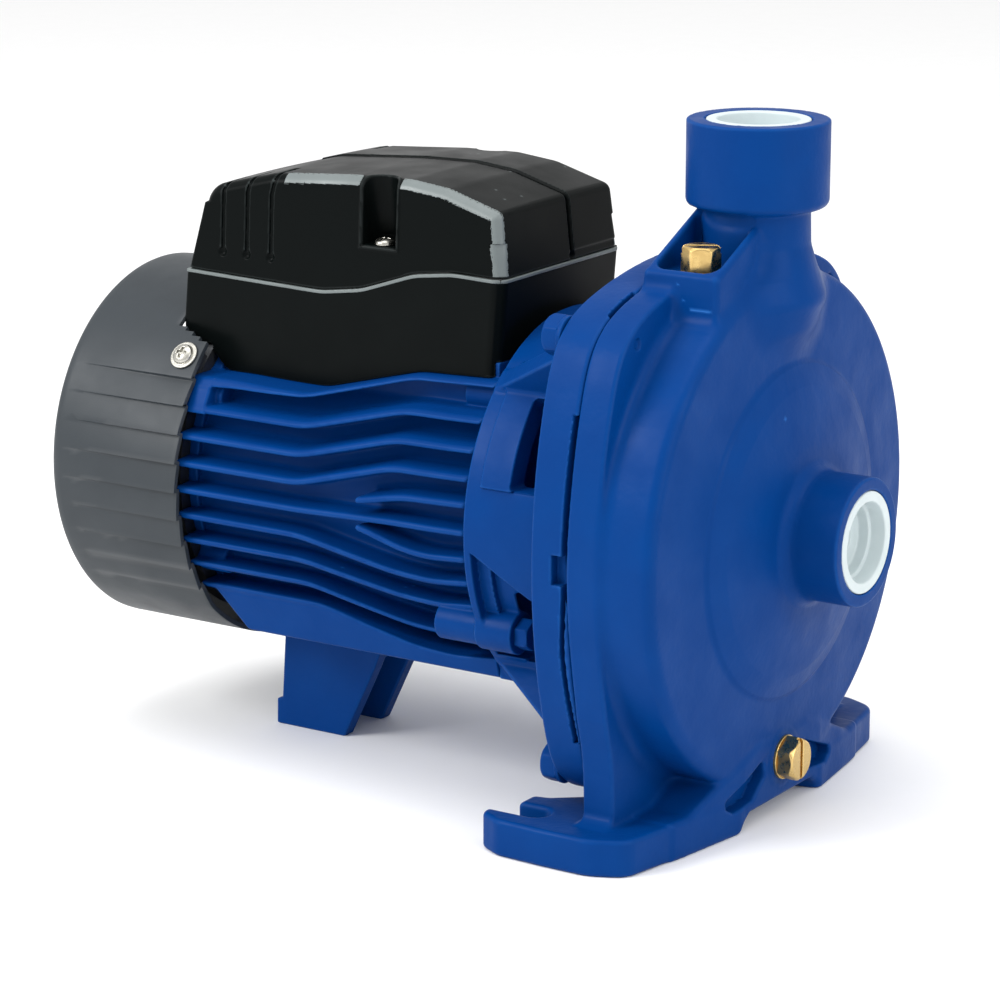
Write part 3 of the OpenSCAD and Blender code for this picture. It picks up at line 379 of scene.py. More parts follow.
def casing(x, y, z):
    """Volute casing with its flange, ports, priming pocket and front feet."""
    r = np.hypot(y, z)
    ay = np.abs(y)
    from_neck = np.hypot(x - OUT_X, y)
    d = slab(smin(outline(y, z), poly(ay, z, LEG), 2), x, 86, 98, 1.4)
    d = smin(d, poly(r, x, DOME), 4.5)
    neck = poly(from_neck, z, NECK)
    shoulder = slab(poly(y, z, SHOULDER), x, 86, 114.6, 2.2)
    d = smin(d, neck, 1 + np.clip((104 - z) * 0.5, 0, 8))
    d = smin(d, shoulder, 1 + np.clip((106 - z) * 0.5, 0, 2.5))
    pocket = slab(rect(x, y, 88.9, 111.8, -40.6, -10, 4.2), z, 92, 125, 0.6)
    pocket = np.maximum(pocket, 18.6 - from_neck)
    pocket = np.maximum(pocket, np.where(from_neck < 24.6, z - 110.5, -9))
    d = cut(d, pocket, 1.8)
    from_slot = np.where(x < SLOT_X, np.abs(ay - SLOT_Y), np.hypot(x - SLOT_X, ay - SLOT_Y))
    plate = smax(poly(x, ay, FOOT), 5 - from_slot, 0.8)
    plate = smax(slab(plate, z, GROUND, -88, 1.7), -block(x, y, z, (40, -46, -120), (86.05, 46, -80)), 1.2)
    front = np.interp(ay, [0, 27, 60, 72], [0, 0, -4.6, -7]).astype(F)
    beam = slab(poly(y, z, HUMP), x - front, 98, 118.6, 2)
    d = smin(d, smin(plate, beam, 2), 2.5)
    d = cut(d, slab(poly(ay, z, POCKET), x - front, 113.6, 130), 1.4)
    d = smin(d, rod(y, z - DRAIN_Z, x, 10.3, 100, 118.6, 0.8), 1.5)
    # waterways and bores
    d = cut(d, port(y, z, x - PORT_X, 31, 13.5), 0.4)
    d = cut(d, port(x - OUT_X, y, z - TOP, 46, 12.5), 0.4)
    d = np.maximum(d, -poly(r, x, CHAMBER))
    d = np.maximum(d, -rod(x - OUT_X, y, z, 9.5, 77, 97))
    d = np.maximum(d, -rod(x - PLUG_X, y - PLUG_Y, z, 4.3, 70, 96))
    d = np.maximum(d, -rod(y, z - DRAIN_Z, x, 6.5, 100, 125))
    d = np.maximum(d, -rod(ay - BOLT_Y, np.abs(z) - BOLT_Z, x, 3.4, 80, 96.5))
    d = cut(d, rod(ay - 66, z - 74, x, 1.8, 97.1, 105, 0.4), 0.8)
    # the flange's rear face is flat
    d = np.maximum(d, np.where((z > -87) & (z < 104) & (x < 90), 86 - x, -9))
    return np.maximum(d, GROUND - z)


def bracket(x, y, z):
    """Lantern between the motor frame and the casing, with windows, gussets, lugs and its flange."""
    r = np.hypot(y, z)
    ay, az = np.abs(y), np.abs(z)
    bell = slab(np.abs(r - 64) - 4, x, 31, 74, 0.8)
    window = block(x, ay, z, (49, -9, 18), (80, 90, 47), 1.5)
    bell = smax(bell, -window, 0.8)
    bell = smax(bell, -block(x, ay, z, (45.5, -9, -44), (80, 90, -19.5), 1.5), 0.8)
    pad = slab(np.abs(r - 64.8) - 4.4, x, 37, 73, 0.8)
    pad = np.maximum(pad, np.maximum(17.7 - z, z - 56))
    bell = np.minimum(bell, smax(pad, -window, 0.6))
    slope = (z + 11.3) * 0.85 + (x - 43.4) * 0.53
    hollow = np.maximum(np.maximum(slope, -46 - z), np.maximum(61.5 - r, 34 - x))
    bell = cut(bell, np.maximum(hollow, -block(x, ay, z, (20, -9, -60), (45.5, 90, -45))), 0.8)
    flange = slab(outline(y, z), x, 72, 86, 1.2)
    d = smin(bell, flange, 2.5)
    for side in (z, -z):
        along, across = (ay * 0.672 + side * 0.740), (ay * 0.740 - side * 0.672)
        ramp = slab(poly(along, x, GUSSET), across, -4, 4, 1)
        d = smin(d, ramp, 2)
    skirt = block(x, ay, z, (31, 16, -56), (73, 45, -44), 0.5)
    d = smin(d, skirt, 1.5)
    for ty, tz in TIES:
        d = smin(d, rod(ay - ty, z - tz, x, 7.5 if tz < 0 else 6.6, 31, 46, 0.8), 1.5)
        d = cut(d, rod(ay - ty, z - tz, x, 7.5, 46, 72, 1), 0.6)
    # rear wall and bearing seat, spigot, seal seat, the hollow around it and its wall, then the bores
    d = np.minimum(d, slab(np.abs(r - 42) - 22, x, 33, 39))
    d = smin(d, slab(np.abs(r - 21) - 6, x, 33, 50, 1), 3)
    d = np.minimum(d, slab(np.abs(r - 57) - 27, x, 80, 90))
    d = smin(d, slab(r - 24, x, 68, 90, 1), 2)
    d = np.maximum(d, -slab(np.abs(r - 51.5) - 27.5, x, 76, 95))
    d = np.minimum(d, slab(np.abs(r - 51.5) - 29, x, 78.5, 83))
    d = np.maximum(d, -rod(y, z, x, 17, 82.5, 95))
    d = np.maximum(d, -rod(y, z, x, 13, 76, 84))
    d = np.maximum(d, -rod(y, z, x, 9, 20, 84))
    d = np.maximum(d, -rod(y, z, x, 20, 32, 46.05))
    d = np.maximum(d, -slab(np.abs(r - 83.2) - 2.3, x, 86.2, 89.6))
    d = np.maximum(d, -rod(ay - BOLT_Y, az - BOLT_Z, x, 4.5, 60, 95))
    for ty, tz in TIES:
        d = np.maximum(d, -rod(ay - ty, z - tz, x, 3.3, 20, 50))
    # reliefs between the two flanges, open at their edges
    rim = outline(y, z)
    centre = np.interp(z, [-60, -40, -28, -8, 52], [84.4, 83.6, 83.2, 84.6, 85.2]).astype(F)
    gap = np.maximum(np.abs(x - centre) - 0.9, np.maximum(np.abs(z + 4) - 56, -4.5 - rim))
    d = np.maximum(d, -gap)
    upper = np.maximum(np.maximum(np.abs(ay - 55) - 8, -z), -4.5 - rim)
    d = np.maximum(d, -slab(upper, x, 84.5, 86.5))
    return cut(d, slab(np.maximum(np.abs(z - 1) - 5, -4 - rim), x, 80, 83.4), 0.5)


def casing_bolt(x, y, z):
    """Hex bolt M8 with its washer, along +x."""
    d = rod(y, z, x, 7, 70.4, 72, 0.3)
    crown = np.hypot(y, z) - 7.3 + np.maximum(66 - x, 0) * 0.6
    head = smax(slab(hexagon(z, y, 13), x, 64.6, 70.6, 0.4), crown, 0.4)
    d = np.minimum(d, head)
    return np.minimum(d, rod(y, z, x, 3.35, 69, 95.5, 0.4))


def tie_bolt(x, y, z):
    """Hex bolt M6, its head towards +x."""
    crown = np.hypot(y, z) - 5.7 + np.maximum(x - 50, 0) * 0.6
    head = smax(slab(hexagon(z, y, 10), x, 46, 51, 0.3), crown, 0.3)
    return np.minimum(head, rod(y, z, x, 2.95, 17, 48, 0.3))


def priming_plug(x, y, z):
    """Brass hex plug, its slot turned 30 degrees."""
    u, v = x - PLUG_X, y - PLUG_Y
    top = 101.8
    cone = np.hypot(u, v) - 6.75 + np.maximum(z - top + 1.2, 0) * 0.9
    head = smax(slab(hexagon(v, u, 12), z, 93.2, top, 0.35), cone, 0.4)
    head = cut(head, slab(np.abs(u * 0.5 - v * 0.866) - 0.85, z, top - 2.6, top + 3), 0.3)
    return np.minimum(head, rod(u, v, z, 4.24, 81, 94, 0.5))


def priming_washer(x, y, z):
    u, v = x - PLUG_X, y - PLUG_Y
    return np.maximum(rod(u, v, z, 7, 92.06, 93.2, 0.25), -rod(u, v, z, 4.3, 80, 100))


def drain_plug(x, y, z):
    """Brass hex plug with an upright slot."""
    v = z - DRAIN_Z
    end = 126.2
    cone = np.hypot(y, v) - 7.9 + np.maximum(x - end + 1.3, 0) * 0.9
    head = smax(slab(hexagon(v, y, 14), x, 120.2, end, 0.4), cone, 0.4)
    head = cut(head, slab(np.abs(y) - 0.9, x, end - 1.6, end + 3), 0.4)
    return np.minimum(head, rod(y, v, x, 6.44, 106.6, 121, 0.5))


def drain_washer(x, y, z):
    v = z - DRAIN_Z
    return np.maximum(rod(y, v, x, 7.8, 118.66, 120.2, 0.3), -rod(y, v, x, 6.5, 100, 130))


# Half section of a transit cap
CAP = rounded([
    (-5, -9.6), (-5, -10.9), (14.6, -10.9, 0.8), (15.34, -9, 0.3), (15.34, -1.1, 0.2), (17.6, -1.1, 0.3),
    (17.6, -0.02, 0.5), (13.9, -0.02, 0.6), (13.4, -5.4, 0.4), (12.2, -5.7, 0.4), (11.9, -9.6, 0.8),
], 4)


def cap(x, y, z):
    """Transit cap with its rim at z = 0."""
    r = np.hypot(x, y)
    d = poly(r, z, CAP)
    return smin(d, slab(np.abs(r - 6.2) - 0.45, z, -9.8, -9.1, 0.2), 0.5)


# Motor ----------------------------------------------------------------------------------------

# Screws of the terminal box's base and of the motor foot, the lid's screws and the floor of their pockets
BASE_SCREWS, BASE_SCREW_Y = (-78, 21.5), 28
FOOT_SCREWS = (-74, -52)
LID_SCREW_X, LID_SCREW_Y, LID_SCREW_SEAT = -23.3, 33.8, 89.5
# Top of the box's seat on the frame, axis of the cable gland, and the fan cover with its screws
BOX_SEAT = 53.95
GLAND_X, GLAND_Z = 6, 68
COVER_RADIUS, COVER_SCREW_X = 68.0, -98.5
SHELF = [(-95, 37.8), (-77, 38.0), (-60, 37.4), (-45, 37.2), (-5, 47.5), (31, 48.8)]


def fin_lines():
    """Centre line of each cooling fin seen from the side, and the x where it starts."""
    lines = []
    for i, j in ((0, 0), (1, 1), (2, 2), (3, 4), (4, 6), (5, 7), (6, 8.4), (7, 9.35)):
        a, b = 27.2 - 9.6 * i, 36.4 - 9.25 * j
        bow = 1.2 if j > 5 else 0
        lift = 0.4 if j < 5 else 1.0
        lines.append(([(-99, a), (-42, a - 0.2), (-3, b), (13, b - bow), (35, b + lift)], -99))
    lines.append(([(-17, 4.8), (2, 8.7), (35, 9.6)], -17))
    lines.append(([(-17, -4.0), (2, -9.8), (12, -11.0), (35, -9.4)], -17))
    return lines


FINS = fin_lines()
RAIL = rounded([
    (-49.5, -38), (-49.3, -42, 1), (-44.8, -56, 2), (44.8, -56, 2), (49.3, -42, 1), (49.5, -38),
])


def motor_frame(x, y, z):
    """Finned barrel with the shelf of the terminal box, lugs and the rail underneath."""
    r = np.hypot(y, z)
    ay, az = np.abs(y), np.abs(z)
    grow = np.clip((64 - r) * 0.06, 0, 1)
    fins = np.full(x.shape, 99, F)
    for points, start in FINS:
        fin = np.abs(above(x, z, points, 9)) - 1.15 - grow
        if start > -50:
            fin = smax(fin, start - x + (64 - r) * 0.3, 1.5)
        fins = np.minimum(fins, fin)
    edge = smax(r - 64, np.abs(x + 33.2) - 61.8, 1.5)
    fins = smax(fins, edge, 1.5)
    d = smin(fins, rod(y, z, x, 53, -95, 31), 2.2)
    d = np.minimum(d, slab(r - 55.5, x, 26, 31, 0.5))
    d = np.minimum(d, slab(r - 55.5, x, -95, -91, 0.5))
    c, m = line_z(x, SHELF, 7)
    thick = np.interp(x, [-95, -86, -45, -20, 31], [3.4, 3.2, 1.6, 1.9, 2.3]).astype(F)
    shelf = np.maximum((z - c) / np.sqrt(1 + m * m), (c - thick - z) / np.sqrt(1 + m * m))
    d = smin(d, smax(shelf, edge, 1.2), 1.5)
    corner = np.maximum(block(x, ay, z, (-94, 20, 26), (-85.5, 64, 43)), (z - c) + 0.3)
    d = smin(d, smax(corner, edge, 1.2), 1.0)
    for ty, tz in TIES:
        d = smin(d, rod(ay - ty, z - tz, x, 6.5, 14, 31, 0.8), 1.2)
    d = smin(d, rod(ay - END_Y, az - END_Z, x, 5, -95, -83, 0.8), 1.2)
    rail = poly(y, z, RAIL)
    rail = smax(rail, -88 - x - (z + 41) * 0.72, 1.2)
    rail = smax(rail, x - 31, 0.6)
    lowest_fin = line_z(x, FINS[7][0], 9)[0]
    rail = smax(rail, z - lowest_fin - 1.15, 1.2)
    d = smin(d, rail, 1.2)
    d = smin(d, block(x, ay, z, (-90, -9, 20), (26.3, 37.4, BOX_SEAT)), 1)
    # bores and pockets
    d = np.maximum(d, -rod(y, z, x, 48, -120, 50))
    for ty, tz in TIES:
        d = np.maximum(d, -rod(ay - ty, z - tz, x, 3, 16, 50))
    d = np.maximum(d, -rod(ay - END_Y, az - END_Z, x, 2.1, -120, -84))
    d = np.maximum(d, -block(x, ay, z, (-90.4, -9, BOX_SEAT), (40, 40, 90)))
    d = np.maximum(d, -block(x, ay, z, (-14, -9, 40), (14, 9, 60)))
    for sx in BASE_SCREWS:
        d = np.maximum(d, -rod(x - sx, ay - BASE_SCREW_Y, z, 1.75, 45, 60))
    for sx in FOOT_SCREWS:
        d = np.maximum(d, -rod(x - sx, y, z, 2.1, -57.5, -47))
    return d


FOOT_LEG = rounded([
    (-87.2, -101, 0.8), (-87, -91.4, 0.5), (-84.6, -90.6, 0.5), (-83, -66, 0), (-83, -56), (-36, -56),
    (-43, -73, 3), (-56.5, -101, 1.2),
])


def motor_foot(x, y, z):
    """Two slanted legs under one saddle."""
    ay = np.abs(y)
    leg = slab(poly(x, z, FOOT_LEG), ay, 9, 15, 0.8)
    d = smin(leg, block(x, ay, z, (-83, -9, -62), (-36, 24, -56.02), 1), 2.5)
    d = smin(d, block(x, ay, z, (-80, -9, -71), (-44, 12, -58), 1), 1.5)
    for sx in FOOT_SCREWS:
        d = np.maximum(d, -rod(x - sx, y, z, 5, -90, -62))
        d = np.maximum(d, -rod(x - sx, y, z, 2.8, -66, -50))
    return np.maximum(d, GROUND - z)


# Fan cover: a sheet with shingled steps, given its thickness here ---------------------------------

def wrapped(deg):
    """An angle brought between -180 and 180 degrees."""
    return (deg + 180) % 360 - 180


def fan_cover():
    """Thin cover with a slotted back, open at the front and over the terminal box."""
    thick = 1.8
    back_x = -149.0
    # angles of the steps on one side, of the steps on both sides, and below of the grille's six arms
    steps = [33.8 - 8.86 * k for k in range(8, -1, -1)]
    cuts = sorted(steps + [180 - a for a in steps])
    base = list(np.arange(0, 360, 1.5))
    arms = [60.0 * i for i in range(6)]
    arm_sides = [m + s for m in arms for s in (-3, 3)]
    angles = [a for a in base if all(abs(wrapped(a - c)) > 0.5 for c in cuts + arm_sides)]
    angles += [c % 360 for c in cuts] + [(c + 0.22) % 360 for c in cuts] + [a % 360 for a in arm_sides]
    angles = np.array(sorted(set(round(a, 4) for a in angles)))
    # profile: (x, r), from the front edge to the middle of the back
    prof = [(x, COVER_RADIUS) for x in list(np.linspace(-92, -107.6, 9)) + list(np.linspace(-110, -144, 11))]
    for t in range(1, 7):
        a = math.radians(15 * t)
        prof.append((back_x + 4 - 4 * math.sin(a), COVER_RADIUS - 4 + 4 * math.cos(a)))
    rings = [61 - 6 * i for i in range(8)]
    back = [62.6]
    for r0 in rings:
        back += [r0, r0 - 1.5, r0 - 3]
    back += [14, 9, 4.5]
    first_back = len(prof)
    prof += [(back_x, r) for r in back]
    verts, faces = [], []
    na = len(angles)

    def pull(x, deg):
        """How far the sheet is drawn in at an angle, from nothing just above a step to the whole step."""
        depth = 1.7 * min(1, max(0, (x + 141) / 40)) ** 0.8
        out = 0.0
        for side in (0, 1):
            a = wrapped(deg if side == 0 else 180 - deg)
            if steps[0] - 9 < a < steps[-1]:
                below = [s for s in steps if s > a + 1e-6]
                lower = [s for s in steps if s <= a + 1e-6]
                top = min(below) if below else steps[-1]
                bottom = max(lower) if lower else steps[0] - 9
                out = max(out, depth * (a - bottom) / (top - bottom))
        return out

    def beside_arm(r, deg):
        """The angle moved so that each arm of the grille is equally wide along its length."""
        for m in arms:
            q = wrapped(deg - m)
            if abs(q) < 12:
                want = min(11, math.degrees(math.asin(min(0.9, 2.2 / r))))
                spread = want + (abs(q) - 3) * (12 - want) / 9
                return m + (q / 3 * want if abs(q) <= 3 else math.copysign(spread, q))
        return deg

    for i, (x, r) in enumerate(prof):
        for deg in angles:
            out = r - pull(x, deg)
            t = math.radians(beside_arm(r, deg) if i >= first_back else deg)
            verts.append((x, out * math.cos(t), out * math.sin(t)))

    def notched(i, j):
        """Whether a patch of the wall is left open for the terminal box."""
        x, deg = prof[i][0], angles[j]
        edge = math.degrees(math.asin(min(1, (54.1 - (x + 107.5) * 0.273) / COVER_RADIUS)))
        return x > -107.55 and edge <= deg <= 180 - edge

    for i in range(len(prof) - 1):
        slot_row = False
        if i >= first_back:
            k = i - first_back
            slot_row = 1 <= k < 1 + 3 * len(rings) and (k - 1) % 3 < 2
        for j in range(na):
            jn = (j + 1) % na
            if notched(i, j):
                continue
            if slot_row:
                mid = (angles[j] + ((angles[jn] - angles[j]) % 360) / 2) % 360
                if all(abs(wrapped(mid - m)) > 3 for m in arms):
                    continue
            faces.append((i * na + j, i * na + jn, (i + 1) * na + jn, (i + 1) * na + j))
    centre = len(verts)
    verts.append((back_x, 0, 0))
    last = (len(prof) - 1) * na
    for j in range(na):
        faces.append((last + j, last + (j + 1) % na, centre))
    o = to_object("fan_cover_shell", np.array(verts), faces)
    bm = bmesh.new()
    bm.from_mesh(o.data)
    bmesh.ops.recalc_face_normals(bm, faces=bm.faces)
    # the sheet's normals face away from the shaft, so that the wall grows inwards
    probe = max(bm.faces, key=lambda q: q.calc_center_median().x)
    middle = probe.calc_center_median()
    outward = middle - Vector((middle.x, 0, SHAFT_Z * 0.001))
    if probe.normal.dot(outward) < 0:
        bmesh.ops.reverse_faces(bm, faces=bm.faces)
    bm.to_mesh(o.data)
    bm.free()
    thicken = o.modifiers.new("wall", "SOLIDIFY")
    thicken.thickness = thick * 0.001
    thicken.offset = -1
    soften = o.modifiers.new("edge", "BEVEL")
    soften.width = 0.00035
    soften.segments = 2
    soften.limit_method = "ANGLE"
    soften.angle_limit = math.radians(50)
    dg = bpy.context.evaluated_depsgraph_get()
    me = bpy.data.meshes.new_from_object(o.evaluated_get(dg))
    o.modifiers.clear()
    o.data = me
    me.polygons.foreach_set("use_smooth", np.ones(len(me.polygons), bool))
    me.set_sharp_from_angle(angle=math.radians(38))
    return o


def cross_slot(x, y, half_width, reach):
    """Cross recess of a screw head."""
    bar = np.maximum(np.abs(x) - half_width, np.abs(y) - reach)
    return np.minimum(bar, np.maximum(np.abs(y) - half_width, np.abs(x) - reach))


def pan_screw(x, y, z):
    """Cross-slotted pan head on a washer: the head points along +z and the washer lies on z = 0."""
    r = np.hypot(x, y)
    washer = rod(x, y, z, 5.3, 0.02, 0.9, 0.25)
    dome = smax(np.sqrt(x * x + y * y + (z + 3.6) ** 2) - 6.75, r - 3.9, 0.7)
    head = smax(dome, 0.7 - z, 0.2)
    cross = cross_slot(x, y, 0.55, 2.1)
    head = cut(head, slab(cross, z, 1.9, 9), 0.35)
    return np.minimum(np.minimum(washer, head), rod(x, y, z, 1.85, -12, 1.5, 0.3))


# Terminal box ---------------------------------------------------------------------------------

# Where the lid meets the base, and the lower edge of the base above the motor frame's shelf
PARTING = [(-108, 73.6), (-75, 72.6), (-47, 71.8), (-30, 74.2), (-8, 81.6), (8, 83.6), (34, 82.8)]
SEAM = [
    (-108, 46.5), (-95.2, 46.5), (-90.4, 37.9), (-77, 38.1), (-60, 37.5), (-45, 37.3), (-5, 47.6), (34, 49.0),
]
LID_SIDE = rounded([
    (-105.2, 50), (-105.2, 74), (-97.6, 103.4, 9), (-70, 110.2, 30), (-34, 112.6, 30), (-12, 113, 20),
    (4, 111.2, 20), (25.4, 104.9, 3), (28.4, 80), (28.4, 50),
])


def lid_faces(x, y, z, shrink=0.0):
    """Distances to the lid's end-and-roof faces, its long faces and the chamfer between them."""
    ay = np.abs(y)
    crown = 0.8 * (1 - np.minimum(1, (ay / 40)) ** 2) * np.clip((z - 90) / 14, 0, 1)
    side = poly(x, z - crown, LID_SIDE) + shrink
    near = (ay - 38.9) * 0.9985 + (z - 74) * 0.058 + shrink
    leg = np.where(z > 95, 2.3, 2.7 + (z - 80) * 0.04) * COS_45
    edge = np.where((x < -80) & (z < 98), -99, (side + near) * COS_45 + leg)
    return side, near, edge


def lid_outer(x, y, z, shrink=0.0):
    """The lid's plain body."""
    side, near, edge = lid_faces(x, y, z, shrink)
    return smax(smax(side, near, 1.0), edge, 1.0)


def lid_highlight_strip(x, y, z):
    """Pale strip along the long upper edge and down the front corner: a painted highlight where the bevel
    catches the light.
    """
    side, near, edge = lid_faces(x, y, z)
    outer = smax(smax(side, near, 1.0), edge, 1.0)
    bottom = line_z(x, PARTING, 5)[0] + 0.7
    d = np.maximum(np.maximum(outer - 0.3, -0.9 - outer), -0.5 - edge)
    d = np.maximum(d, np.maximum(8.4 - np.abs(x - LID_SCREW_X), -64 - x))
    return np.maximum(d, bottom - z)


def lid(x, y, z):
    ay = np.abs(y)
    outer = lid_outer(x, y, z)
    # raised panel beyond the step line on the roof and the front end
    panel = np.maximum(outer - 0.6, 7.6 - y)
    panel = smax(panel, -(x + 80) + (z - 108) * 0.2, 0.8)
    panel = smax(panel, 86 - z, 0.8)
    groove = np.maximum(np.abs(y - 6.6) - 0.7, np.abs(outer) - 0.9)
    groove = np.maximum(groove, np.maximum(-80 - x, 86 - z))
    d = smin(outer, panel, 0.5)
    d = cut(d, groove, 0.5)
    d = cut(d, np.sqrt((x - 28.3) ** 2 + (y - 6.6) ** 2 + (z - 84.6) ** 2) - 1.6, 0.4)
    # three grooves over each long edge, each ending in a round dimple
    for gx in (-90.5, -80, -69.5):
        bend = np.where(z > 103, (z - 103) * 0.25, 0)
        line = np.maximum(np.abs(x - gx - bend) - 0.75, np.abs(outer) - 0.75)
        line = np.maximum(line, np.maximum(82 - z, 24 - ay))
        d = cut(d, line, 0.5)
        d = cut(d, np.sqrt((x - gx) ** 2 + (ay - 39.2) ** 2 + (z - 81) ** 2) - 1.9, 0.4)
    # hollow, screw posts and the rimmed pockets over the screws, open to the sides
    hollow = lid_outer(x, y, z, 2.6)
    along = x - LID_SCREW_X
    centre = LID_SCREW_Y + np.clip((z - 92) * 0.2, 0, 5)
    reach = np.where(ay < centre, np.hypot(along, ay - centre), np.abs(along))
    post = np.hypot(along, np.minimum(ay - LID_SCREW_Y, 0)) - 8.2
    d = np.maximum(d, -np.maximum(hollow, -post))
    pocket = np.maximum(reach - 6.9, LID_SCREW_SEAT - z)
    rim = np.maximum(reach - 8.3, 88 - z)
    d = smin(d, smax(outer - 0.4, rim, 0.6), 0.5)
    d = cut(d, pocket, 1.2)
    d = np.maximum(d, -rod(along, ay - LID_SCREW_Y, z, 2.2, 60, 95))
    c, m = line_z(x, PARTING, 5)
    return smax(d, (c + 0.12 - z) / np.sqrt(1 + m * m), 0.5)


def base_outer(x, ay, z):
    """The base's plain body, by the distance ay from the middle plane."""
    lean = np.clip((z - 53) * 0.08, 0, 2.4)
    side = np.maximum(-106 - np.clip((72 - z) * 0.09, 0, 1.5) - x, x - 26.1 - lean)
    edge = np.where(x < -80, -99, (side + ay - 39.5) * COS_45 + 2.2)
    return smax(smax(side, ay - 39.5, 1.0), edge, 1.0)


def base_highlight_strip(x, y, z):
    """Pale strip on the bevelled rim along the parting line: a painted highlight."""
    outer = base_outer(x, np.abs(y), z)
    band = np.abs(above(x, z, PARTING, 5) + 0.75) - 0.6
    return smax(smax(band, outer - 0.2, 0.3), -1.1 - outer, 0.3)


def box_base(x, y, z):
    """Base tray of the terminal box, lowered over the frame and the fan cover at its ends."""
    ay = np.abs(y)
    top = above(x, z, PARTING, 5)
    d = smax(base_outer(x, ay, z), top, 1.6)
    d = smax(d, -above(x, z, SEAM, 6), 0.8)
    inner = block(x, ay, z, (-89, -9, 56.6), (24.2, 36.9, 120), 2)
    inner = np.minimum(inner, block(x, ay, z, (-103.4, -9, 65), (-85, 36.9, 120), 1))
    post = np.hypot(x - LID_SCREW_X, ay - LID_SCREW_Y) - 4.6
    d = np.maximum(d, -np.maximum(inner, -post))
    within = block(x, ay, z, (-103.25, -9, 0), (25.75, 36.75, 200))
    around = block(x, ay, z, (-104.7, -9, 0), (27.2, 38.2, 200))
    rebate = np.maximum(np.maximum(-within, around), -1.2 - top)
    d = np.maximum(d, -rebate)
    # room for the frame's seat, the fan cover and the barrel, then the holes
    d = np.maximum(d, -block(x, ay, z, (-90.5, -9, 0), (26.4, 37.6, 54)))
    r = np.hypot(y, z)
    d = np.maximum(d, -slab(r - 61.5, x, -120, -95))
    d = np.maximum(d, -slab(r - 56.3, x, -96, -90.4))
    d = np.maximum(d, -slab(r - 56.3, x, 24.4, 40))
    d = np.maximum(d, -rod(x - LID_SCREW_X, ay - LID_SCREW_Y, z, 1.6, 58, 120))
    d = np.maximum(d, -rod(x - GLAND_X, z - GLAND_Z, y, 7.6, 35, 45))
    d = np.maximum(d, -block(x, ay, z, (-14, -9, 50), (14, 9, 60)))
    for sx in BASE_SCREWS:
        d = np.maximum(d, -rod(x - sx, ay - BASE_SCREW_Y, z, 2.2, 50, 60))
    return np.maximum(d, -rod(x + 70, y + 24, z, 1.85, 55, 60))


def lid_screw(x, y, z):
    """Pan head with its seat at z = 0."""
    r = np.hypot(x, y)
    dome = smax(np.sqrt(x * x + y * y + (z + 3.0) ** 2) - 5.6, r - 3.7, 0.6)
    head = smax(dome, 0.08 - z, 0.2)
    cross = cross_slot(x, y, 0.5, 1.9)
    head = cut(head, slab(cross, z, 1.3, 9), 0.3)
    return np.minimum(head, rod(x, y, z, 1.55, -26, 1, 0.3))


def gland_body(x, y, z):
    """Hex and threaded tube of the cable gland, along y."""
    u, v = x - GLAND_X, z - GLAND_Z
    hexa = smax(slab(hexagon(u, v, 19), y, 39.52, 43.5, 0.4), np.hypot(u, v) - 10.6, 0.5)
    d = np.minimum(hexa, rod(u, v, y, 7.55, 31.5, 52.3, 0.3))
    return np.maximum(d, -rod(u, v, y, 6, 20, 60))


def gland_nut(x, y, z):
    """Domed hex nut of the cable gland."""
    u, v = x - GLAND_X, z - GLAND_Z
    hexa = smax(slab(hexagon(u, v, 19), y, 43.9, 52.5, 0.5), np.hypot(u, v) - 10.6, 0.5)
    d = smin(hexa, smax(np.sqrt(u * u + v * v + (y - 48) ** 2) - 10.2, np.abs(y - 50) - 5.5, 0.6), 0.6)
    d = np.maximum(d, -rod(u, v, y, 7.6, 40, 52.45))
    return cut(d, rod(u, v, y, 5.4, 40, 60), 0.6)


# Materials ------------------------------------------------------------------------------------

# Sockets of the colour mix node
MIX_A, MIX_B, MIXED = 6, 7, 2


def srgb(*c):
    """Linear colour from three display values of 0 to 255."""
    linear = [v / 255 / 12.92 if v <= 10 else ((v / 255 + 0.055) / 1.055) ** 2.4 for v in c]
    return (*linear, 1.0)


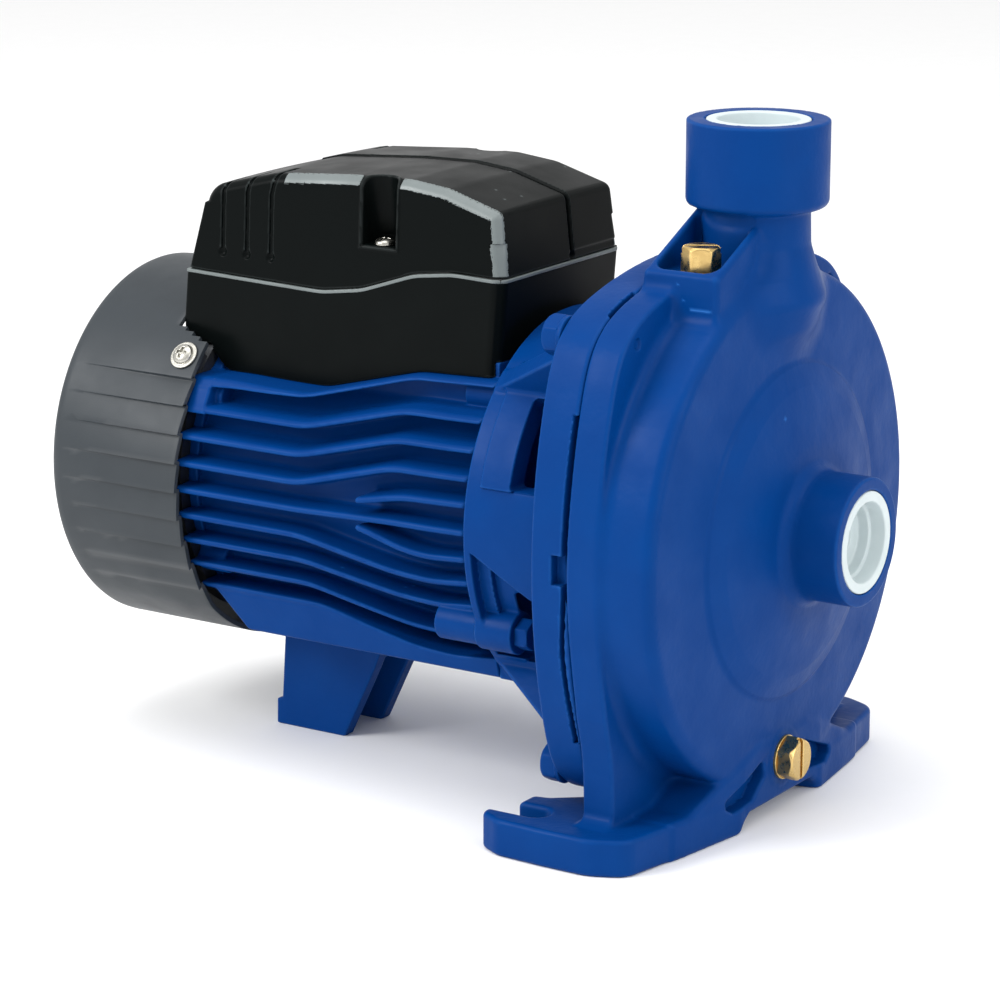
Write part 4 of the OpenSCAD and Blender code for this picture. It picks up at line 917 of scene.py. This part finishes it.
def material(name, base, shade, rough=0.4, metal=0.0, coat=0.0, grain=0.15, grain_scale=900.0, blotch=60.0,
             edge_highlight=0.0, edge_highlight_color=None, rough_var=0.1, transmission=0.0, coarse=0.0, coarse_scale=160.0,
             specular=0.5):
    """Procedural finish: two shades mixed by noise, uneven roughness, fine bump and edges lightened by a
    painted highlight.
    """
    m = bpy.data.materials.new(name)
    m.use_nodes = True
    nt = m.node_tree
    nt.nodes.clear()
    new = nt.nodes.new
    out = new("ShaderNodeOutputMaterial")
    bsdf = new("ShaderNodeBsdfPrincipled")
    coord = new("ShaderNodeTexCoord")
    nt.links.new(bsdf.outputs["BSDF"], out.inputs["Surface"])
    big = new("ShaderNodeTexNoise")
    big.inputs["Scale"].default_value = blotch
    big.inputs["Detail"].default_value = 4
    fine = new("ShaderNodeTexNoise")
    fine.inputs["Scale"].default_value = grain_scale
    fine.inputs["Detail"].default_value = 3
    for n in (big, fine):
        nt.links.new(coord.outputs["Object"], n.inputs["Vector"])
    mix = new("ShaderNodeMix")
    mix.data_type = "RGBA"
    mix.inputs[MIX_A].default_value = base
    mix.inputs[MIX_B].default_value = shade
    nt.links.new(big.outputs["Fac"], mix.inputs[0])
    color = mix.outputs[MIXED]
    # sharp edges, found by pointiness, are painted lighter: a painted highlight along the edges
    if edge_highlight > 0:
        geo = new("ShaderNodeNewGeometry")
        ramp = new("ShaderNodeMapRange")
        ramp.inputs["From Min"].default_value = 0.52
        ramp.inputs["From Max"].default_value = 0.66
        ramp.inputs["To Max"].default_value = edge_highlight
        nt.links.new(geo.outputs["Pointiness"], ramp.inputs["Value"])
        edge = new("ShaderNodeMix")
        edge.data_type = "RGBA"
        nt.links.new(ramp.outputs["Result"], edge.inputs[0])
        nt.links.new(color, edge.inputs[MIX_A])
        edge.inputs[MIX_B].default_value = edge_highlight_color
        color = edge.outputs[MIXED]
    nt.links.new(color, bsdf.inputs["Base Color"])
    rr = new("ShaderNodeMapRange")
    rr.inputs["From Min"].default_value = 0.3
    rr.inputs["From Max"].default_value = 0.7
    rr.inputs["To Min"].default_value = max(0.02, rough - rough_var)
    rr.inputs["To Max"].default_value = min(1.0, rough + rough_var)
    nt.links.new(big.outputs["Fac"], rr.inputs["Value"])
    nt.links.new(rr.outputs["Result"], bsdf.inputs["Roughness"])
    bump = new("ShaderNodeBump")
    bump.inputs["Strength"].default_value = grain
    bump.inputs["Distance"].default_value = 0.0003
    nt.links.new(fine.outputs["Fac"], bump.inputs["Height"])
    if coarse > 0:
        lump = new("ShaderNodeTexNoise")
        lump.inputs["Scale"].default_value = coarse_scale
        lump.inputs["Detail"].default_value = 2
        nt.links.new(coord.outputs["Object"], lump.inputs["Vector"])
        first = new("ShaderNodeBump")
        first.inputs["Strength"].default_value = coarse
        first.inputs["Distance"].default_value = 0.0012
        nt.links.new(lump.outputs["Fac"], first.inputs["Height"])
        nt.links.new(first.outputs["Normal"], bump.inputs["Normal"])
    nt.links.new(bump.outputs["Normal"], bsdf.inputs["Normal"])
    bsdf.inputs["Metallic"].default_value = metal
    bsdf.inputs["Specular IOR Level"].default_value = specular
    bsdf.inputs["Coat Weight"].default_value = coat
    bsdf.inputs["Coat Roughness"].default_value = 0.12
    bsdf.inputs["Transmission Weight"].default_value = transmission
    m.diffuse_color = base
    return m


# the lighter edge colours given below paint a highlight along the edges of each finish
blue = material("blue_enamel", srgb(0, 57, 123), srgb(0, 49, 112), rough=0.42, specular=0.06,
                grain=0.22, grain_scale=620, edge_highlight=0.6, edge_highlight_color=srgb(40, 104, 180),
                coarse=0.2, coarse_scale=120)
black_gloss = material("black_moulding", srgb(8, 12, 12), srgb(5, 8, 8), rough=0.34, specular=0.05,
                       grain=0.03, grain_scale=1500, edge_highlight=0.6, edge_highlight_color=srgb(96, 104, 104),
                       rough_var=0.05)
black_matte = material("grey_black_moulding", srgb(46, 52, 57), srgb(38, 44, 49), rough=0.46,
                       specular=0.35, grain=0.12, grain_scale=2200, edge_highlight=0.3,
                       edge_highlight_color=srgb(92, 94, 96), rough_var=0.06)
# pale grey laid over the box's bevelled edges: a painted highlight, not the moulding's own colour
painted_edge_highlight = material("painted_highlight_moulding", srgb(112, 120, 120), srgb(92, 100, 100), rough=0.42,
                    grain=0.05, grain_scale=1500)
zinc = material("zinc_plate", srgb(196, 194, 186), srgb(170, 168, 160), rough=0.28, metal=1.0,
                grain=0.08, blotch=300)
steel = material("ground_steel", srgb(182, 184, 188), srgb(160, 162, 166), rough=0.25, metal=1.0,
                 grain=0.05, blotch=200)
laminated = material("laminated_steel", srgb(120, 120, 122), srgb(90, 90, 94), rough=0.45, metal=1.0,
                     grain=0.3, grain_scale=2600)
# a darker grey than bare cast aluminium: painted shade for the end shield inside the fan cover
aluminium = material("cast_aluminium", srgb(104, 106, 108), srgb(84, 86, 90), rough=0.5, metal=1.0,
                     grain=0.3)
brass = material("machined_brass", srgb(222, 192, 128), srgb(200, 166, 104), rough=0.3, metal=1.0,
                 grain=0.1, blotch=420, edge_highlight=0.5, edge_highlight_color=srgb(240, 216, 150))
copper = material("varnished_copper", srgb(176, 92, 48), srgb(140, 70, 36), rough=0.35, metal=0.6,
                  coat=0.4, grain=0.4, grain_scale=1800)
rubber = material("black_rubber", srgb(22, 22, 22), srgb(30, 30, 30), rough=0.7, grain=0.3)
white = material("cap_polyethylene", srgb(206, 216, 218), srgb(192, 204, 206), rough=0.38, grain=0.08,
                 blotch=120, transmission=0.1)
ceramic = material("seal_ceramic", srgb(232, 226, 210), srgb(222, 214, 196), rough=0.2, grain=0.05)
carbon = material("seal_carbon", srgb(38, 38, 40), srgb(30, 30, 32), rough=0.45, grain=0.1)
block_plastic = material("block_plastic", srgb(206, 192, 152), srgb(196, 180, 140), rough=0.5, grain=0.1)
case_plastic = material("capacitor_case", srgb(208, 208, 202), srgb(196, 196, 190), rough=0.3, grain=0.05)

SLOT_MATERIALS = {
    "blue_castings": blue, "blue_frame": blue, "black_gloss": black_gloss, "black_matte": black_matte,
    "zinc_steel": zinc, "bright_steel": steel, "lamination_steel": laminated, "cast_aluminium": aluminium,
    "brass": brass, "copper": copper, "black_rubber": rubber, "cap_plastic": white, "seal_ceramic": ceramic,
    "seal_carbon": carbon, "block_plastic": block_plastic, "capacitor_case": case_plastic,
}
# every CAD node gets its slot's finish; those that no piece stands for stay visible
for part in frame["record"]["subparts"]:
    o = frame["nodes"][part["node"]]
    o.data.materials.clear()
    o.data.materials.append(SLOT_MATERIALS[part["material_slot"]])

# Pieces ---------------------------------------------------------------------------------------

solid("casing_casting", casing, (50, -94, -101.2), (149.5, 94, 140.5), 0.72, blue,
      ["pump_casing"])
solid("bracket_casting", bracket, (30, -91, -94), (90.5, 91, 94), 0.75, blue,
      ["motor_bracket"])
solid("frame_casting", motor_frame, (-96, -66, -57), (32, 66, 55), 0.62, blue,
      ["motor_frame"])
solid("foot_casting", motor_foot, (-88, -25, -101.2), (-35, 25, -55), 0.6, blue,
      ["motor_foot"])
solid("box_lid", lid, (-107, -41, 70), (34, 41, 118.5), 0.5, black_gloss,
      ["terminal_box_lid"])
solid("box_base", box_base, (-107, -40, 36), (33, 40, 85), 0.55, black_gloss,
      ["terminal_box_base"])
# thin pale shells over the box's edges and parting line: painted highlight
solid("box_lid_painted_highlight", lid_highlight_strip, (-66, -40, 80), (30, 40, 116), 0.4, painted_edge_highlight,
      ["terminal_box_lid"])
solid("box_base_painted_highlight", base_highlight_strip, (-107, -40, 70), (30, 40, 86), 0.4, painted_edge_highlight,
      ["terminal_box_base"])
dress(fan_cover(), black_matte, ["fan_cover"])

# bolts between the flanges, then at the bracket's lugs
corners = [Matrix.Translation((0, sy * BOLT_Y, sz * BOLT_Z)) for sy in (-1, 1) for sz in (-1, 1)]
solid("flange_bolts", casing_bolt, (64, -8.5, -8.5), (97, 8.5, 8.5), 0.4, blue,
      ["casing_bolts"], places=corners)
lugs = [Matrix.Translation((0, sy * ty, tz)) for sy in (-1, 1) for ty, tz in TIES]
solid("frame_bolts", tie_bolt, (16, -6.5, -6.5), (52, 6.5, 6.5), 0.4, blue,
      ["motor_bolts"], places=lugs)

solid("plug_of_priming_hole", priming_plug, (94, -40.5, 80), (110, -24.5, 103), 0.24, brass,
      ["priming_plug"], "priming_plug")
solid("washer_of_priming_plug", priming_washer, (94, -40.5, 91.5), (110, -24.5, 94), 0.24, brass,
      ["priming_washer"], "priming_plug")
solid("plug_of_drain_hole", drain_plug, (106, -9, -90), (127, 9, -72), 0.26, brass,
      ["drain_plug"], "drain_plug")
solid("washer_of_drain_plug", drain_washer, (118, -9, -90), (121, 9, -72), 0.26, brass,
      ["drain_washer"], "drain_plug")

suction_face = Matrix.Translation((PORT_X, 0, 0)) @ Matrix.Rotation(math.pi / 2, 4, "Y")
solid("cap_of_suction_port", cap, (-18, -18, -11.5), (18, 18, 0.4), 0.34, white,
      ["suction_cap"], "suction_cap", [suction_face])
discharge_face = Matrix.Translation((OUT_X, 0, TOP))
solid("cap_of_discharge_port", cap, (-18, -18, -11.5), (18, 18, 0.4), 0.34, white,
      ["discharge_cap"], "discharge_cap", [discharge_face])

# fan cover screws: two upper ones and one below, each pointing away from the shaft
on_cover = Matrix.Translation((0, 0, COVER_RADIUS))
at_screws = Matrix.Translation((COVER_SCREW_X, 0, 0))
turns = [Matrix.Rotation(math.radians(a - 90), 4, "X") for a in (40.7, 139.3, -90)]
solid("cover_screws", pan_screw, (-5.6, -5.6, -12.4), (5.6, 5.6, 3.6), 0.22, zinc,
      ["fan_cover_screws"], places=[at_screws @ turn @ on_cover for turn in turns])
pockets = [Matrix.Translation((LID_SCREW_X, s * LID_SCREW_Y, LID_SCREW_SEAT)) for s in (-1, 1)]
solid("box_lid_screws", lid_screw, (-4, -4, -26.4), (4, 4, 3), 0.24, zinc,
      ["lid_screws"], places=pockets)
solid("gland_lower_part", gland_body, (-6, 31, 56), (18, 53, 80), 0.4, black_gloss,
      ["gland_body"])
solid("gland_dome_nut", gland_nut, (-6, 43, 56), (18, 57, 80), 0.4, black_gloss,
      ["gland_nut"])

# Studio ---------------------------------------------------------------------------------------

scene = bpy.context.scene
scene.view_settings.view_transform = "Standard"
world = bpy.data.worlds.new("studio")
scene.world = world
world.use_nodes = True
background = world.node_tree.nodes["Background"]
background.inputs["Color"].default_value = (1, 1, 1, 1)
background.inputs["Strength"].default_value = 0.9

floor_bm = bmesh.new()
bmesh.ops.create_grid(floor_bm, x_segments=2, y_segments=2, size=6)
floor_mesh = bpy.data.meshes.new("floor")
floor_bm.to_mesh(floor_mesh)
floor_bm.free()
floor = bpy.data.objects.new("floor", floor_mesh)
scene.collection.objects.link(floor)
pale_floor = material("pale_floor", srgb(250, 250, 250), srgb(247, 247, 247), rough=0.8, grain=0.02)
floor.data.materials.append(pale_floor)


def area(name, place, look, size, power):
    """A white area light at a place, turned to look at a point."""
    light = bpy.data.lights.new(name, "AREA")
    light.shape = "RECTANGLE"
    light.size, light.size_y = size
    light.energy = power
    o = bpy.data.objects.new(name, light)
    o.location = place
    o.rotation_euler = (Vector(look) - Vector(place)).to_track_quat("-Z", "Y").to_euler()
    scene.collection.objects.link(o)


area("key", (-0.95, -1.35, 1.25), (0, 0, 0.1), (0.9, 0.9), 26)
area("top", (0.1, -0.1, 1.5), (0, 0, 0.1), (1.2, 1.2), 10)
area("right", (1.6, -0.2, 0.75), (0.1, 0, 0.1), (0.7, 1.1), 9)

cam = bpy.data.cameras.new("camera")
cam.lens = 133.3
cam.sensor_width = 36
cam.clip_start, cam.clip_end = 0.05, 20
camera = bpy.data.objects.new("camera", cam)
camera.location = (0.6972, -1.0756, 0.4276)
aim = Vector((0.00221, 0, 0.09513)) - Vector(camera.location)
camera.rotation_euler = aim.to_track_quat("-Z", "Y").to_euler()
scene.collection.objects.link(camera)
scene.camera = camera
